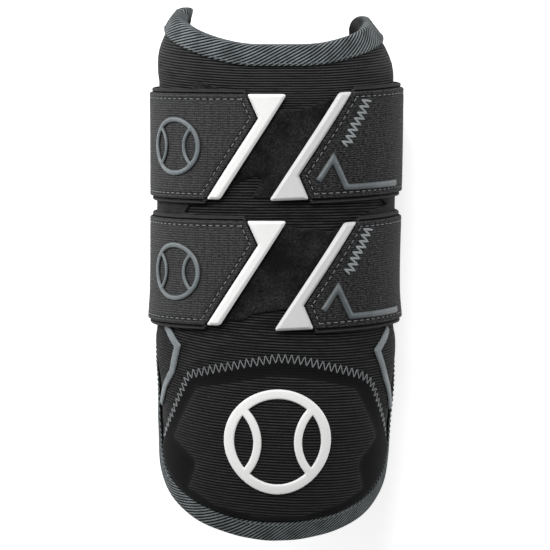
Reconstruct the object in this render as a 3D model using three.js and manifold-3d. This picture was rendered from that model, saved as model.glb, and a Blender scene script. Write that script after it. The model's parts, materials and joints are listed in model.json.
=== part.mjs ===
// Baseball elbow guard with two fastened straps, lying on the flat back spans of its straps.
// Millimetres. The front faces +Z, the arm runs along Y, the upper-arm end is +Y, the elbow cap is -Y.
import * as THREE from "three";
import { mergeVertices } from "three/addons/utils/BufferGeometryUtils.js";
import Module from "manifold-3d";

// The body's girth section is half wide to each side, and front and back deep from its widest plane.
const guardLength = 238;
const sectionHalf = 52.5;
const sectionFront = 44;
const sectionBack = 46;
const frontFullness = 2.3;
const backFullness = 2.25;
const widestHeight = 42;

// How far the shell reaches round the arm from the front line, measured along the girth.
const reachLeft = 110;
const reachRight = 116;
const wingStart = -5;
const wingEnd = -70;
const wingShare = 0.7;

// The elbow end is a wide U, and the upper-arm end dips between two horns.
const cupStart = -62;
const cupEnd = -116.2;
const cupFullness = 2.2;
const cupCorner = -98;
const topCorner = 118.5;
const topDip = 15.8;
const hornStart = 95;
const hornShare = 0.86;
const rightHornDrop = 3.4;

// The whole guard is shifted so that the middle of its box is at the origin.
const lengthShift = -1.4;
const sideShift = 0.3;

// Layers, from the nominal outer skin: minus is towards the arm.
const clearance = 0.3;
const wrapClearance = 0.4;
const padThickness = 6;
const padEdgeThickness = 2.4;
const padEdgeSink = 0.65;
const linerThickness = 1.3;
const linerEdgeThickness = 1;
const linerClearance = 0.9;
const linerInset = 1.2;
const tapeThickness = 1;
const insideClearance = 0.95;
const tapeLeg = 8.5;
const tapeSink = 0.2;
const loopThickness = 1;
const capBaseThickness = 1.2;
const capFieldThickness = 1.5;
const stripeThickness = 0.8;
const stripeWidth = 3.4;

// Straps.
const strapWidth = 50.4;
const bandThickness = 1.4;
const panelThickness = 1;
const trimThickness = 1.8;
const markThickness = 1;
const upperStrapAt = 58.9;
const lowerStrapAt = 3.5;
const floorSoftening = 4;

// The two tab ends face each other across a slanted gap.
const tabGap = 22.4;
const tabSlant = 0.615;
const trimMargin = 2.1;
const trimNarrow = 5.8;
const trimWide = 17;
const trimNotch = 0.77;
const trimCorner = 2;
const panelMargin = 2.1;
const panelReach = 90;
const trimGap = 0.8;
const bandInset = 0.9;
const rightTabTilt = 0.04;
const upperRightClimb = 0.2;
const lowerRightClimb = -1.4;
const rightTabLean = 0.04;
const upperRightShift = -0.9;
const lowerRightShift = 1.2;

// Raised marks.
const capEmblemSize = 46;
const capEmblemAt = -70.5;
const strapEmblemSize = 26;
const strapEmblemAt = -46.5;
const accentWidth = 2.9;
const accentPath = [[17.4, -15.4], [23.4, -5.4], [29.6, -18.4], [58.6, -18.5]];

const bandLift = clearance + loopThickness + wrapClearance;
const panelLift = bandLift + bandThickness + clearance;
const markLift = panelLift + panelThickness + clearance;
// The net of fold lines that the layers share.
const girthStep = 7.6;
const strapStep = 26;
const cupDepth = cupStart - cupEnd;
const cupHalfGirth = reachLeft * wingShare;

// Girth sections along the length, as shares of the named sizes.
const sections = [
  { at: -1.0, left: 0.79, right: 0.78, front: 0.62, back: 0.9 },
  { at: -0.9, left: 0.885, right: 0.85, front: 0.8, back: 0.92 },
  { at: -0.75, left: 0.98, right: 0.93, front: 0.93, back: 0.96 },
  { at: -0.55, left: 1.0, right: 0.965, front: 1.0, back: 1.0 },
  { at: -0.4, left: 1.0, right: 0.995, front: 1.0, back: 1.0 },
  { at: -0.25, left: 1.025, right: 1.01, front: 1.0, back: 1.0 },
  { at: -0.05, left: 1.0, right: 0.975, front: 1.0, back: 1.0 },
  { at: 0.3, left: 0.995, right: 0.99, front: 1.0, back: 1.0 },
  { at: 0.6, left: 0.995, right: 1.0, front: 0.995, back: 1.0 },
  { at: 0.75, left: 1.0, right: 0.995, front: 0.985, back: 0.985 },
  { at: 0.87, left: 0.988, right: 0.925, front: 0.97, back: 0.95 },
  { at: 0.95, left: 0.915, right: 0.8, front: 0.955, back: 0.91 },
  { at: 1.0, left: 0.83, right: 0.71, front: 0.95, back: 0.86 },
];

const wasm = await Module();
wasm.setup();

function ease(from, to, value) {
  return THREE.MathUtils.smoothstep(value, Math.min(from, to), Math.max(from, to));
}

function mix(a, b, share) {
  return a + (b - a) * share;
}

// One column of the section table at a place along the guard, as a smooth curve through its rows.
function columnAt(y, column) {
  const last = sections.length - 1;
  const place = THREE.MathUtils.clamp(y / (guardLength / 2), -1, 1);
  let row = 0;
  while (row < last - 1 && sections[row + 1].at <= place) row += 1;
  const slope = (index) => {
    const before = sections[Math.max(index - 1, 0)];
    const after = sections[Math.min(index + 1, last)];
    return (after[column] - before[column]) / (after.at - before.at);
  };
  const span = sections[row + 1].at - sections[row].at;
  const t = (place - sections[row].at) / span;
  const start = sections[row][column] * (1 + 2 * t) * (1 - t) * (1 - t);
  const end = sections[row + 1][column] * t * t * (3 - 2 * t);
  const startPull = slope(row) * span * t * (1 - t) * (1 - t);
  const endPull = slope(row + 1) * span * t * t * (t - 1);
  return start + end + startPull + endPull;
}

function sectionRadius(turn, half, front, back) {
  const side = Math.abs(Math.sin(turn));
  const facing = Math.cos(turn);
  const deep = facing > 0 ? front : back;
  const fullness = facing > 0 ? frontFullness : backFullness;
  const sum = Math.pow(side / half, fullness) + Math.pow(Math.abs(facing) / deep, fullness);
  return Math.pow(sum, -1 / fullness);
}

// Distance along the nominal section from its front line, for turns of equal size up to the back line.
const turnSteps = 720;
const girthTable = [0];
for (let step = 1; step <= turnSteps; step += 1) {
  const before = (Math.PI * (step - 1)) / turnSteps;
  const after = (Math.PI * step) / turnSteps;
  const a = sectionRadius(before, sectionHalf, sectionFront, sectionBack);
  const b = sectionRadius(after, sectionHalf, sectionFront, sectionBack);
  const across = b * Math.sin(after) - a * Math.sin(before);
  const deep = b * Math.cos(after) - a * Math.cos(before);
  girthTable.push(girthTable[step - 1] + Math.hypot(across, deep));
}
const halfGirth = girthTable[turnSteps];

function turnAt(girth) {
  const size = Math.min(Math.abs(girth), halfGirth);
  let low = 0;
  let high = turnSteps;
  while (high - low > 1) {
    const middle = (low + high) >> 1;
    if (girthTable[middle] <= size) low = middle;
    else high = middle;
  }
  const share = (size - girthTable[low]) / (girthTable[high] - girthTable[low]);
  return (Math.sign(girth) * Math.PI * (low + share)) / turnSteps;
}

// A point of the nominal outer skin: girth from the front line and place along the guard.
function skinPoint(girth, y) {
  const around = Math.abs(girth) > halfGirth ? girth - Math.sign(girth) * 2 * halfGirth : girth;
  const turn = turnAt(around);
  const half = sectionHalf * columnAt(y, around < 0 ? "left" : "right");
  const front = sectionFront * columnAt(y, "front");
  const back = sectionBack * columnAt(y, "back");
  const radius = sectionRadius(turn, half, front, back);
  return new THREE.Vector3(radius * Math.sin(turn), y, widestHeight + radius * Math.cos(turn));
}

function onSkin(girth, y, height) {
  const step = 0.2;
  const round = skinPoint(girth + step, y).sub(skinPoint(girth - step, y));
  const along = skinPoint(girth, y + step).sub(skinPoint(girth, y - step));
  const normal = round.cross(along).normalize();
  return skinPoint(girth, y).addScaledVector(normal, height);
}

// A strap follows the skin, and its back span lies flat on the floor.
function onStrap(girth, y, height) {
  const point = onSkin(girth, y, height);
  const floor = bandLift + bandThickness - height;
  const above = point.z - floor;
  if (above < -floorSoftening) point.z = floor;
  else if (above < floorSoftening) point.z = floor + (above + floorSoftening) ** 2 / (4 * floorSoftening);
  return point;
}

// The shell's flat pattern: reach to one side at a place along the guard.
function reachAt(side, y) {
  const reach = side < 0 ? reachLeft : mix(reachLeft, reachRight, ease(20, 90, y));
  const wing = mix(1, wingShare, 1 - ease(wingStart, wingEnd, y));
  const below = Math.max(0, (cupStart - y) / cupDepth);
  const cup = Math.pow(Math.max(0, 1 - Math.pow(below, cupFullness)), 1 / cupFullness);
  const over = THREE.MathUtils.clamp((y - hornStart) / (topCorner - hornStart), 0, 1);
  const horn = 1 - (1 - hornShare) * (1 - Math.sqrt(1 - over * over));
  return reach * wing * cup * horn;
}

function cupLine(girth) {
  const share = Math.min(1, Math.abs(girth) / cupHalfGirth);
  return cupStart - cupDepth * Math.pow(1 - Math.pow(share, cupFullness), 1 / cupFullness);
}

// A place of the shell's grid, as girth and length: across runs from -1 to 1, up from cup to horns.
function patternPoint(across, up) {
  const girth = across * reachAt(across, up);
  const cornerGirth = across * reachAt(across, cupCorner);
  const cupSag = (cupCorner - cupLine(cornerGirth)) * (1 - ease(cupCorner, -15, up));
  const rise = ease(0.1, 0.9, Math.abs(across));
  const drop = across > 0 ? rightHornDrop * ease(0.3, 0.9, across) : 0;
  const dip = (topDip * (1 - rise) + drop) * ease(55, topCorner, up);
  return { girth, y: up - cupSag - dip };
}

const columnShares = [0.955, 0.905, 0.835];
const middleColumns = 9;
const sideColumns = [1, ...columnShares];
for (let step = 1; step <= middleColumns; step += 1) {
  sideColumns.push(columnShares[2] * (1 - step / middleColumns));
}
const columns = [...sideColumns.map((share) => -share), ...sideColumns.slice(0, -1).reverse()];
const rows = [cupCorner, -94.5, -89, -82, -74, -65, -56, -50, -43.5, -36.5, -29, -21, -12, -3];
rows.push(13, 32, 51, 68, 83, hornStart);
for (const turn of [0.375, 0.7, 0.93, 1]) {
  rows.push(hornStart + (topCorner - hornStart) * Math.sin((turn * Math.PI) / 2));
}

// The shell's edge in the flat pattern, once round.
const edgeLine = [];
for (const across of columns) edgeLine.push(patternPoint(across, rows[0]));
for (const up of rows.slice(1)) edgeLine.push(patternPoint(1, up));
for (const across of columns.slice(0, -1).reverse()) edgeLine.push(patternPoint(across, topCorner));
for (const up of rows.slice(1, -1).reverse()) edgeLine.push(patternPoint(-1, up));

function edgeDistance(girth, y) {
  let nearest = Infinity;
  for (let index = 0; index < edgeLine.length; index += 1) {
    const a = edgeLine[index];
    const b = edgeLine[(index + 1) % edgeLine.length];
    const along = { girth: b.girth - a.girth, y: b.y - a.y };
    const length = along.girth ** 2 + along.y ** 2;
    const share = ((girth - a.girth) * along.girth + (y - a.y) * along.y) / length;
    const part = THREE.MathUtils.clamp(share, 0, 1);
    const away = Math.hypot(girth - a.girth - part * along.girth, y - a.y - part * along.y);
    nearest = Math.min(nearest, away);
  }
  return nearest;
}

// One near the edge under the tape, nought well inside.
function edgeShare(place) {
  return 1 - ease(12, 22, edgeDistance(place.girth, place.y));
}

// Turns a three.js geometry into a solid for joining and cutting.
function solidOf(geometry) {
  const bare = new THREE.BufferGeometry();
  bare.setAttribute("position", geometry.getAttribute("position").clone());
  if (geometry.index) bare.setIndex(geometry.index.clone());
  const merged = mergeVertices(bare, 1e-4);
  return new wasm.Manifold(
    new wasm.Mesh({
      numProp: 3,
      vertProperties: new Float32Array(merged.getAttribute("position").array),
      triVerts: new Uint32Array(merged.index.array),
    }),
  );
}

// A closed solid from a grid of places: an outer and an inner face, and a rim between them.
function gridSolid(across, up, outer, inner) {
  const positions = [];
  const faces = [];
  const wide = across.length;
  const layer = wide * up.length;
  for (const height of [outer, inner]) {
    for (const v of up) {
      for (const u of across) {
        const place = patternPoint(u, v);
        positions.push(...onSkin(place.girth, place.y, height(place)).toArray());
      }
    }
  }
  for (let j = 0; j < up.length - 1; j += 1) {
    for (let i = 0; i < wide - 1; i += 1) {
      const a = j * wide + i;
      const b = a + 1;
      const c = a + wide;
      const d = c + 1;
      faces.push(a, b, d, a, d, c);
      faces.push(layer + a, layer + d, layer + b, layer + a, layer + c, layer + d);
    }
  }
  const rim = [];
  for (let i = 0; i < wide; i += 1) rim.push(i);
  for (let j = 1; j < up.length; j += 1) rim.push(j * wide + wide - 1);
  for (let i = wide - 2; i >= 0; i -= 1) rim.push((up.length - 1) * wide + i);
  for (let j = up.length - 2; j > 0; j -= 1) rim.push(j * wide);
  for (let index = 0; index < rim.length; index += 1) {
    const a = rim[index];
    const b = rim[(index + 1) % rim.length];
    faces.push(a, layer + a, layer + b, a, layer + b, b);
  }
  return indexed(positions, faces);
}

function indexed(positions, faces) {
  const geometry = new THREE.BufferGeometry();
  geometry.setAttribute("position", new THREE.Float32BufferAttribute(positions, 3));
  geometry.setIndex(faces);
  return geometry;
}

// A flat outline with rounded corners. Each corner is [girth, y] or [girth, y, radius].
function outlineShape(corners, radius = 0) {
  const shape = new THREE.Shape();
  const count = corners.length;
  corners.forEach((corner, index) => {
    const here = new THREE.Vector2(corner[0], corner[1]);
    const before = new THREE.Vector2(...corners[(index + count - 1) % count].slice(0, 2)).sub(here);
    const after = new THREE.Vector2(...corners[(index + 1) % count].slice(0, 2)).sub(here);
    const wanted = corner[2] ?? radius;
    const room = Math.min(wanted, before.length() / 2.2, after.length() / 2.2);
    const enter = here.clone().addScaledVector(before.normalize(), room);
    const leave = here.clone().addScaledVector(after.normalize(), room);
    if (index === 0) shape.moveTo(enter.x, enter.y);
    else shape.lineTo(enter.x, enter.y);
    if (room > 0) shape.quadraticCurveTo(here.x, here.y, leave.x, leave.y);
  });
  shape.closePath();
  return shape;
}

// A flat solid over an outline from one height to another, with an optional bevel round its top.
function slab(shape, low, high, bevel = 0, curveSegments = 1) {
  const geometry = new THREE.ExtrudeGeometry(shape, {
    depth: high - low,
    curveSegments,
    bevelEnabled: bevel > 0,
    bevelThickness: bevel,
    bevelSize: bevel,
    bevelOffset: -bevel,
    bevelSegments: 1,
  });
  const solid = solidOf(geometry.translate(0, 0, low - bevel));
  if (bevel === 0) return solid;
  const size = 400;
  const kept = new THREE.BoxGeometry(size, size, size).translate(0, 0, low + size / 2);
  return solid.intersect(solidOf(kept));
}

// The lines that cross a span, at whole multiples of a step.
function netLines(low, high, step) {
  const lines = [];
  for (let line = Math.floor(low / step - 0.2); (line - 1) * step < high + 0.2 * step; line += 1) {
    lines.push(line * step);
  }
  return lines;
}

// Splits each face that has a neighbour's corner part way along one of its edges.
function joinFaces(points, faces) {
  for (let pass = 0; pass < 6; pass += 1) {
    const owners = new Map();
    for (let index = 0; index < faces.length; index += 3) {
      for (let k = 0; k < 3; k += 1) {
        owners.set(faces[index + k] + "_" + faces[index + ((k + 1) % 3)], { index, k });
      }
    }
    const loose = [];
    for (const [key, owner] of owners) {
      const [a, b] = key.split("_").map(Number);
      if (!owners.has(b + "_" + a)) loose.push({ a, b, ...owner });
    }
    const corners = new Set(loose.flatMap((edge) => [edge.a, edge.b]));
    const used = new Set();
    for (const { a, b, index, k } of loose) {
      const middle = [...corners].find((v) => {
        if (v === a || v === b) return false;
        const whole = points[a].distanceTo(points[b]);
        return points[a].distanceTo(points[v]) + points[v].distanceTo(points[b]) - whole < 1e-6;
      });
      if (middle === undefined || used.has(index)) continue;
      used.add(index);
      const c = faces[index + ((k + 2) % 3)];
      faces.splice(index, 3, a, middle, c);
      faces.push(middle, b, c);
    }
    if (used.size === 0) return;
  }
}

// Cuts a flat solid into the cells of a net, keeps the outer faces of the cells, and bends them onto the body.
function bent(solid, girthStep, lengthStep, place) {
  const box = solid.boundingBox();
  const girthLines = netLines(box.min[0], box.max[0], girthStep);
  const lengthLines = netLines(box.min[1], box.max[1], lengthStep);
  const thick = box.max[2] - box.min[2] + 2;
  const middle = (box.max[2] + box.min[2]) / 2;
  const flat = [];
  const faces = [];
  const cellFaces = (x0, x1, y0, y1) => {
    const cell = new THREE.BoxGeometry(x1 - x0, y1 - y0, thick);
    cell.translate((x0 + x1) / 2, (y0 + y1) / 2, middle);
    const mesh = solid.intersect(solidOf(cell)).getMesh();
    const inCell = [];
    for (let index = 0; index < mesh.vertProperties.length; index += 3) {
      const point = new THREE.Vector3().fromArray(mesh.vertProperties, index);
      let found = flat.findIndex((known) => known.distanceToSquared(point) < 1e-6);
      if (found < 0) found = flat.push(point) - 1;
      inCell.push(found);
    }
    for (let index = 0; index < mesh.triVerts.length; index += 3) {
      const corners = [0, 1, 2].map((k) => inCell[mesh.triVerts[index + k]]);
      const all = (axis, value) => corners.every((c) => Math.abs(flat[c].getComponent(axis) - value) < 1e-4);
      const between = all(0, x0) || all(0, x1) || all(1, y0) || all(1, y1);
      const level = all(2, flat[corners[0]].z);
      if (level || !between) faces.push(...corners);
    }
  };
  for (let i = 1; i < girthLines.length; i += 1) {
    for (let j = 1; j < lengthLines.length; j += 1) {
      cellFaces(girthLines[i - 1], girthLines[i], lengthLines[j - 1], lengthLines[j]);
    }
  }
  joinFaces(flat, faces);
  const positions = flat.flatMap((point) => place(point.x, point.y, point.z).toArray());
  return indexed(positions, faces);
}

const group = new THREE.Group();
group.name = "elbow_guard";

function addPiece(name, geometry, colour, roughness, metalness = 0) {
  geometry.translate(sideShift, lengthShift, 0);
  const material = new THREE.MeshStandardMaterial({ color: colour, roughness, metalness });
  material.name = name + "_finish";
  material.side = THREE.DoubleSide;
  geometry.computeVertexNormals();
  const mesh = new THREE.Mesh(geometry, material);
  mesh.name = name;
  group.add(mesh);
}

// The padded shell, thinner at its edge where the tape folds over it.
function makePadShell() {
  const outer = (place) => -padEdgeSink * edgeShare(place);
  const inner = (place) => mix(-padThickness, -padEdgeSink - padEdgeThickness, edgeShare(place));
  return gridSolid(columns, rows, outer, inner);
}

// The lining, a little short of the shell's edge, in fewer spans where it only lies against the pad.
function makeLiner() {
  const pull = 1 - linerInset / reachLeft;
  const shares = [pull, 0.955, 0.905, 0.835];
  const spans = 7;
  for (let step = 1; step <= spans; step += 1) shares.push(0.835 * (1 - step / spans));
  const across = [...shares.map((share) => -share), ...shares.slice(0, -1).reverse()];
  const straight = [32,68];
  const between = rows.slice(1, -1).filter((row) => !straight.includes(row));
  const up = [cupCorner + linerInset, ...between, topCorner - linerInset];
  const edgeOuter = -padEdgeSink - padEdgeThickness - clearance;
  const outer = (place) => mix(-padThickness - linerClearance, edgeOuter, edgeShare(place));
  const inner = (place) => {
    const deep = -padThickness - linerClearance - linerThickness;
    return mix(deep, edgeOuter - linerEdgeThickness, edgeShare(place));
  };
  return gridSolid(across, up, outer, inner);
}

// The tape is swept once round the edge: an outer leg, a rounded nose and an inner leg.
function makeEdgeBinding() {
  const skin = tapeThickness - tapeSink;
  const edgeInner = -padEdgeSink - padEdgeThickness - clearance - linerEdgeThickness;
  const insideTop = edgeInner - insideClearance;
  const inside = insideTop - tapeThickness;
  const middle = (skin + inside) / 2;
  const nose = -clearance - tapeThickness;
  const profile = [
    { inward: tapeLeg, height: skin },
    { inward: tapeLeg / 2, height: skin },
    { inward: 0.3, height: skin - 0.2 },
    { inward: nose, height: middle + 1.9 },
    { inward: nose, height: middle - 1.9 },
    { inward: 0.3, height: inside + 0.2 },
    { inward: tapeLeg, height: inside },
    { inward: tapeLeg, height: insideTop },
    { inward: -clearance, height: insideTop },
    { inward: -clearance, height: -tapeSink },
    { inward: tapeLeg / 2, height: -tapeSink },
    { inward: tapeLeg, height: -tapeSink },
  ];
  const positions = [];
  const faces = [];
  const count = edgeLine.length;
  edgeLine.forEach((here, index) => {
    const before = edgeLine[(index + count - 1) % count];
    const after = edgeLine[(index + 1) % count];
    const arriving = new THREE.Vector2(here.girth - before.girth, here.y - before.y).normalize();
    const leaving = new THREE.Vector2(after.girth - here.girth, after.y - here.y).normalize();
    const along = arriving.add(leaving).normalize();
    for (const point of profile) {
      const girth = here.girth - along.y * point.inward;
      const y = here.y + along.x * point.inward;
      positions.push(...onSkin(girth, y, point.height).toArray());
    }
  });
  for (let station = 0; station < count; station += 1) {
    const next = (station + 1) % count;
    for (let index = 0; index < profile.length; index += 1) {
      const turn = (index + 1) % profile.length;
      const a = station * profile.length + index;
      const b = station * profile.length + turn;
      const c = next * profile.length + turn;
      const d = next * profile.length + index;
      faces.push(a, b, c, a, c, d);
    }
  }
  return indexed(positions, faces);
}

// The loop patch lies under both straps and leaves a window of ribbed fabric between them.
function makeLoopPanel() {
  const outline = [
    [-88, -18], [-88, 88], [-38.6, 87.9], [-27.8, 84.5], [2.2, 74.6], [8.8, 75], [17.6, 78],
    [26.8, 81.5], [40, 83.3], [88, 84], [88, -14], [30, -14], [3, -12.6], [-12, -14.5], [-16, -17.5],
  ];
  const window = [
    [-44.2, 29.3], [-40.8, 33.8], [-11, 46.2], [-7.8, 44.9], [-11.9, 36.5], [20, 35.2],
    [50, 35.5], [55.5, 32.6], [41.5, 29.7], [22.9, 21.4], [1.7, 24],
  ];
  const top = clearance + loopThickness;
  const patch = slab(outlineShape(outline, 1.5), clearance, top);
  const hole = slab(outlineShape(window, 0.8), clearance - 1, top + 1);
  return bent(patch.subtract(hole), girthStep, strapStep, onSkin);
}

// The cap's corners along the zigzag seam, then down beside the tape.
function makeElbowCap() {
  const seam = [
    [-61, -72], [-51.6, -59.1], [-41.8, -42.2], [-29.5, -39.2], [-13, -36], [-1.3, -34],
    [8.2, -34.7], [23.1, -38.4], [37.5, -42.1], [44, -46.5], [48.3, -54.6], [60, -72],
  ];
  const beside = tapeLeg + clearance + 0.3;
  const foot = [];
  const points = edgeLine.filter((point) => point.y < -78);
  points.sort((a, b) => b.girth - a.girth);
  for (const point of points) {
    const share = 1 - beside / Math.hypot(point.girth * 0.82, point.y + 66);
    foot.push([point.girth * share, -66 + (point.y + 66) * share]);
  }
  const baseTop = clearance + capBaseThickness;
  const base = slab(outlineShape([...seam, ...foot]), clearance, baseTop);
  const field = [
    [-37.8, -45.8], [-23.6, -43.7], [-1.3, -39.8], [21.6, -42.9], [34.6, -46.5], [48.8, -70.5],
    [38.2, -81.4], [43.7, -93.6], [30, -101], [12, -105.8], [-12, -105.8], [-32, -101],
    [-46, -92.7], [-39.4, -80.8], [-51.7, -70.4],
  ];
  const top = baseTop + capFieldThickness;
  const raised = slab(outlineShape(field), clearance + 0.5, top, 0.9);
  return bent(base.add(raised), girthStep, 12.5, onSkin);
}

// A plain ball: a ring joined by two seam arcs.
function ballMark(size, low, high) {
  const radius = size / 2;
  const width = size * 0.095;
  const ring = new THREE.Shape().absarc(0, 0, radius, 0, Math.PI * 2, false);
  ring.holes.push(new THREE.Path().absarc(0, 0, radius - width, 0, Math.PI * 2, true));
  let mark = slab(ring, low, high, 0, 6);
  for (const side of [-1, 1]) {
    const centre = side * radius * 1.2;
    const bow = radius * 0.82;
    const arc = new THREE.Shape().absarc(centre, 0, bow + width * 0.4, 0, Math.PI * 2, false);
    arc.holes.push(new THREE.Path().absarc(centre, 0, bow - width * 0.4, 0, Math.PI * 2, true));
    const disc = new THREE.Shape().absarc(0, 0, radius - width / 2, 0, Math.PI * 2, false);
    mark = mark.add(slab(arc, low, high, 0, 8).intersect(slab(disc, low, high, 0, 6)));
  }
  return mark;
}

// A line of one width along corners, with square ends.
function stripeShape(path, width) {
  const left = [];
  const right = [];
  path.forEach((corner, index) => {
    const here = new THREE.Vector2(...corner);
    const before = new THREE.Vector2(...path[Math.max(index - 1, 0)]);
    const after = new THREE.Vector2(...path[Math.min(index + 1, path.length - 1)]);
    const enter = index > 0 ? here.clone().sub(before).normalize() : after.clone().sub(here).normalize();
    const leave = index < path.length - 1 ? after.clone().sub(here).normalize() : enter.clone();
    const middle = enter.clone().add(leave).normalize();
    const miter = width / 2 / Math.max(0.35, middle.dot(enter));
    left.push([here.x - middle.y * miter, here.y + middle.x * miter]);
    right.push([here.x + middle.y * miter, here.y - middle.x * miter]);
  });
  return outlineShape([...left, ...right.reverse()], 0.6);
}

// The corners of one tab end about its strap's middle, for the left tab. The right tab is turned half round.
const trimHalf = strapWidth / 2 - trimMargin;
const panelHalf = strapWidth / 2 - panelMargin;
const leadingMiddle = -tabGap / 2;
const notchRise = trimHalf * (2 * trimNotch - 1);

function leadingAt(rise) {
  return leadingMiddle + tabSlant * rise;
}

const notchGirth = leadingAt(notchRise) - trimNarrow;
const wideGirth = leadingAt(trimHalf) - trimWide;
const backSlope = (wideGirth - notchGirth) / (trimHalf - notchRise);

function trimCorners() {
  return [
    [leadingAt(-trimHalf), -trimHalf, 1.4],
    [leadingAt(trimHalf), trimHalf, trimCorner],
    [wideGirth, trimHalf, 1.2],
    [notchGirth, notchRise, 0],
    [leadingAt(-trimHalf) - trimNarrow, -trimHalf, 1.2],
  ];
}

function panelCorners(half, gap, reach) {
  return [
    [-reach, -half, 0.8],
    [leadingAt(-half) - trimNarrow - gap, -half, 0.8],
    [notchGirth - gap, notchRise, 0],
    [notchGirth - gap + backSlope * (half - notchRise), half, 0.8],
    [-reach, half, 0.8],
  ];
}

function halfTurned(corners) {
  return corners.map(([girth, rise, radius]) => [-girth, -rise, radius]);
}

// The band's two ends run on under the trims.
function bandCorners() {
  const half = strapWidth / 2;
  const under = trimHalf - bandInset;
  const end = (side) => {
    const corners = [
      [leadingAt(-half) - trimNarrow, -half, 0.8],
      [leadingAt(-under) - trimNarrow, -under, 0],
      [leadingAt(-under) - bandInset, -under, 0.8],
      [leadingAt(under) - bandInset, under, 0.8],
      [wideGirth, under, 0],
      [notchGirth + backSlope * (half - notchRise), half, 0.8],
    ];
    return side < 0 ? corners : halfTurned(corners);
  };
  const right = end(1).map(([girth, rise, radius]) => [girth - 2 * halfGirth, rise, radius]);
  return [...end(-1), ...right];
}

// The right side of each strap climbs a little and sits shifted, as it was pulled round.
function strapPlaces(at, rightClimb, rightShift) {
  const left = (girth, rise, height) => onStrap(girth, at + rise, height);
  const right = (girth, rise, height) => {
    const fade = 1 - ease(panelReach, halfGirth, girth);
    const climb = rightClimb + rightTabTilt * (Math.min(girth, 60) - 15);
    const pull = rightShift + rightTabLean * rise;
    return onStrap(girth + pull * fade, at + rise + climb * fade, height);
  };
  const band = (girth, rise, height) => {
    return girth < -halfGirth ? right(girth + 2 * halfGirth, rise, height) : left(girth, rise, height);
  };
  return { left, right, band };
}

function makeStrap(name, at, rightClimb, rightShift) {
  const places = strapPlaces(at, rightClimb, rightShift);
  const lay = (piece, side) => bent(piece, girthStep, strapStep, places[side]);
  const band = slab(outlineShape(bandCorners()), bandLift, bandLift + bandThickness);
  addPiece(name + "_strap_band", lay(band, "band"), 0x1b1b1d, 0.9);
  const panels = { left: panelCorners(panelHalf, trimGap, panelReach) };
  panels.right = halfTurned(panels.left);
  const trims = { left: trimCorners(), right: halfTurned(trimCorners()) };
  for (const side of ["left", "right"]) {
    const panel = slab(outlineShape(panels[side]), panelLift, panelLift + panelThickness);
    addPiece(name + "_" + side + "_panel", lay(panel, side), 0x232426, 0.85);
    const trim = slab(outlineShape(trims[side]), panelLift, panelLift + trimThickness, 0.5, 2);
    addPiece(name + "_" + side + "_trim", lay(trim, side), 0xe9e9e7, 0.45);
  }
  const emblem = ballMark(strapEmblemSize, markLift, markLift + markThickness);
  const placeEmblem = (girth, rise, height) => places.left(girth + strapEmblemAt, rise, height);
  addPiece(name + "_strap_emblem", bent(emblem, girthStep, strapStep, placeEmblem), 0x6f7679, 0.5);
  const line = slab(stripeShape(accentPath, accentWidth), markLift, markLift + markThickness);
  addPiece(name + "_accent_line", lay(line, "right"), 0x6f7679, 0.5);
}

addPiece("pad_shell", makePadShell(), 0x161617, 0.9);
addPiece("liner", makeLiner(), 0x1f1f21, 0.8);
addPiece("edge_binding", makeEdgeBinding(), 0x63696c, 0.8);
addPiece("loop_panel", makeLoopPanel(), 0x1a1a1b, 1);
addPiece("elbow_cap", makeElbowCap(), 0x151516, 0.9);

const capMarkLift = clearance + capBaseThickness + capFieldThickness + clearance;
const capEmblem = ballMark(capEmblemSize, capMarkLift, capMarkLift + markThickness);
const placeCapEmblem = (girth, rise, height) => onSkin(girth - 1, rise + capEmblemAt, height);
addPiece("cap_emblem", bent(capEmblem, girthStep, 16, placeCapEmblem), 0xececea, 0.45);

const stripeLeft = [[-57, -21.2], [-47.8, -29.8], [-52.2, -41.4], [-58.7, -48.2], [-64, -57]];
const stripeRight = [[57, -22.6], [47, -32], [53.8, -44.4], [58.3, -50.6], [63.5, -59]];
for (const [side, path] of [["left", stripeLeft], ["right", stripeRight]]) {
  const line = slab(stripeShape(path, stripeWidth), clearance, clearance + stripeThickness);
  addPiece("side_stripe_" + side, bent(line, girthStep, 15, onSkin), 0x6f7679, 0.55);
}

makeStrap("upper", upperStrapAt, upperRightClimb, upperRightShift);
makeStrap("lower", lowerStrapAt, lowerRightClimb, lowerRightShift);

export default group;
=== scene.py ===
# %% [markdown]
# # A baseball elbow guard
# The guard is a curved padded shell that keeps its form, so it lies on the back of its own straps with
# its front up. The imported CAD model is the fixed frame: it says where each piece is. This lesson dresses
# each piece in its real cloth, tape, elastic or rubber, one step at a time.
# The frame is loaded first.

# %% The imported guard
import json
import math

import bpy
import numpy as np
from mathutils import Matrix, Vector
from mathutils.geometry import delaunay_2d_cdt

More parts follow.
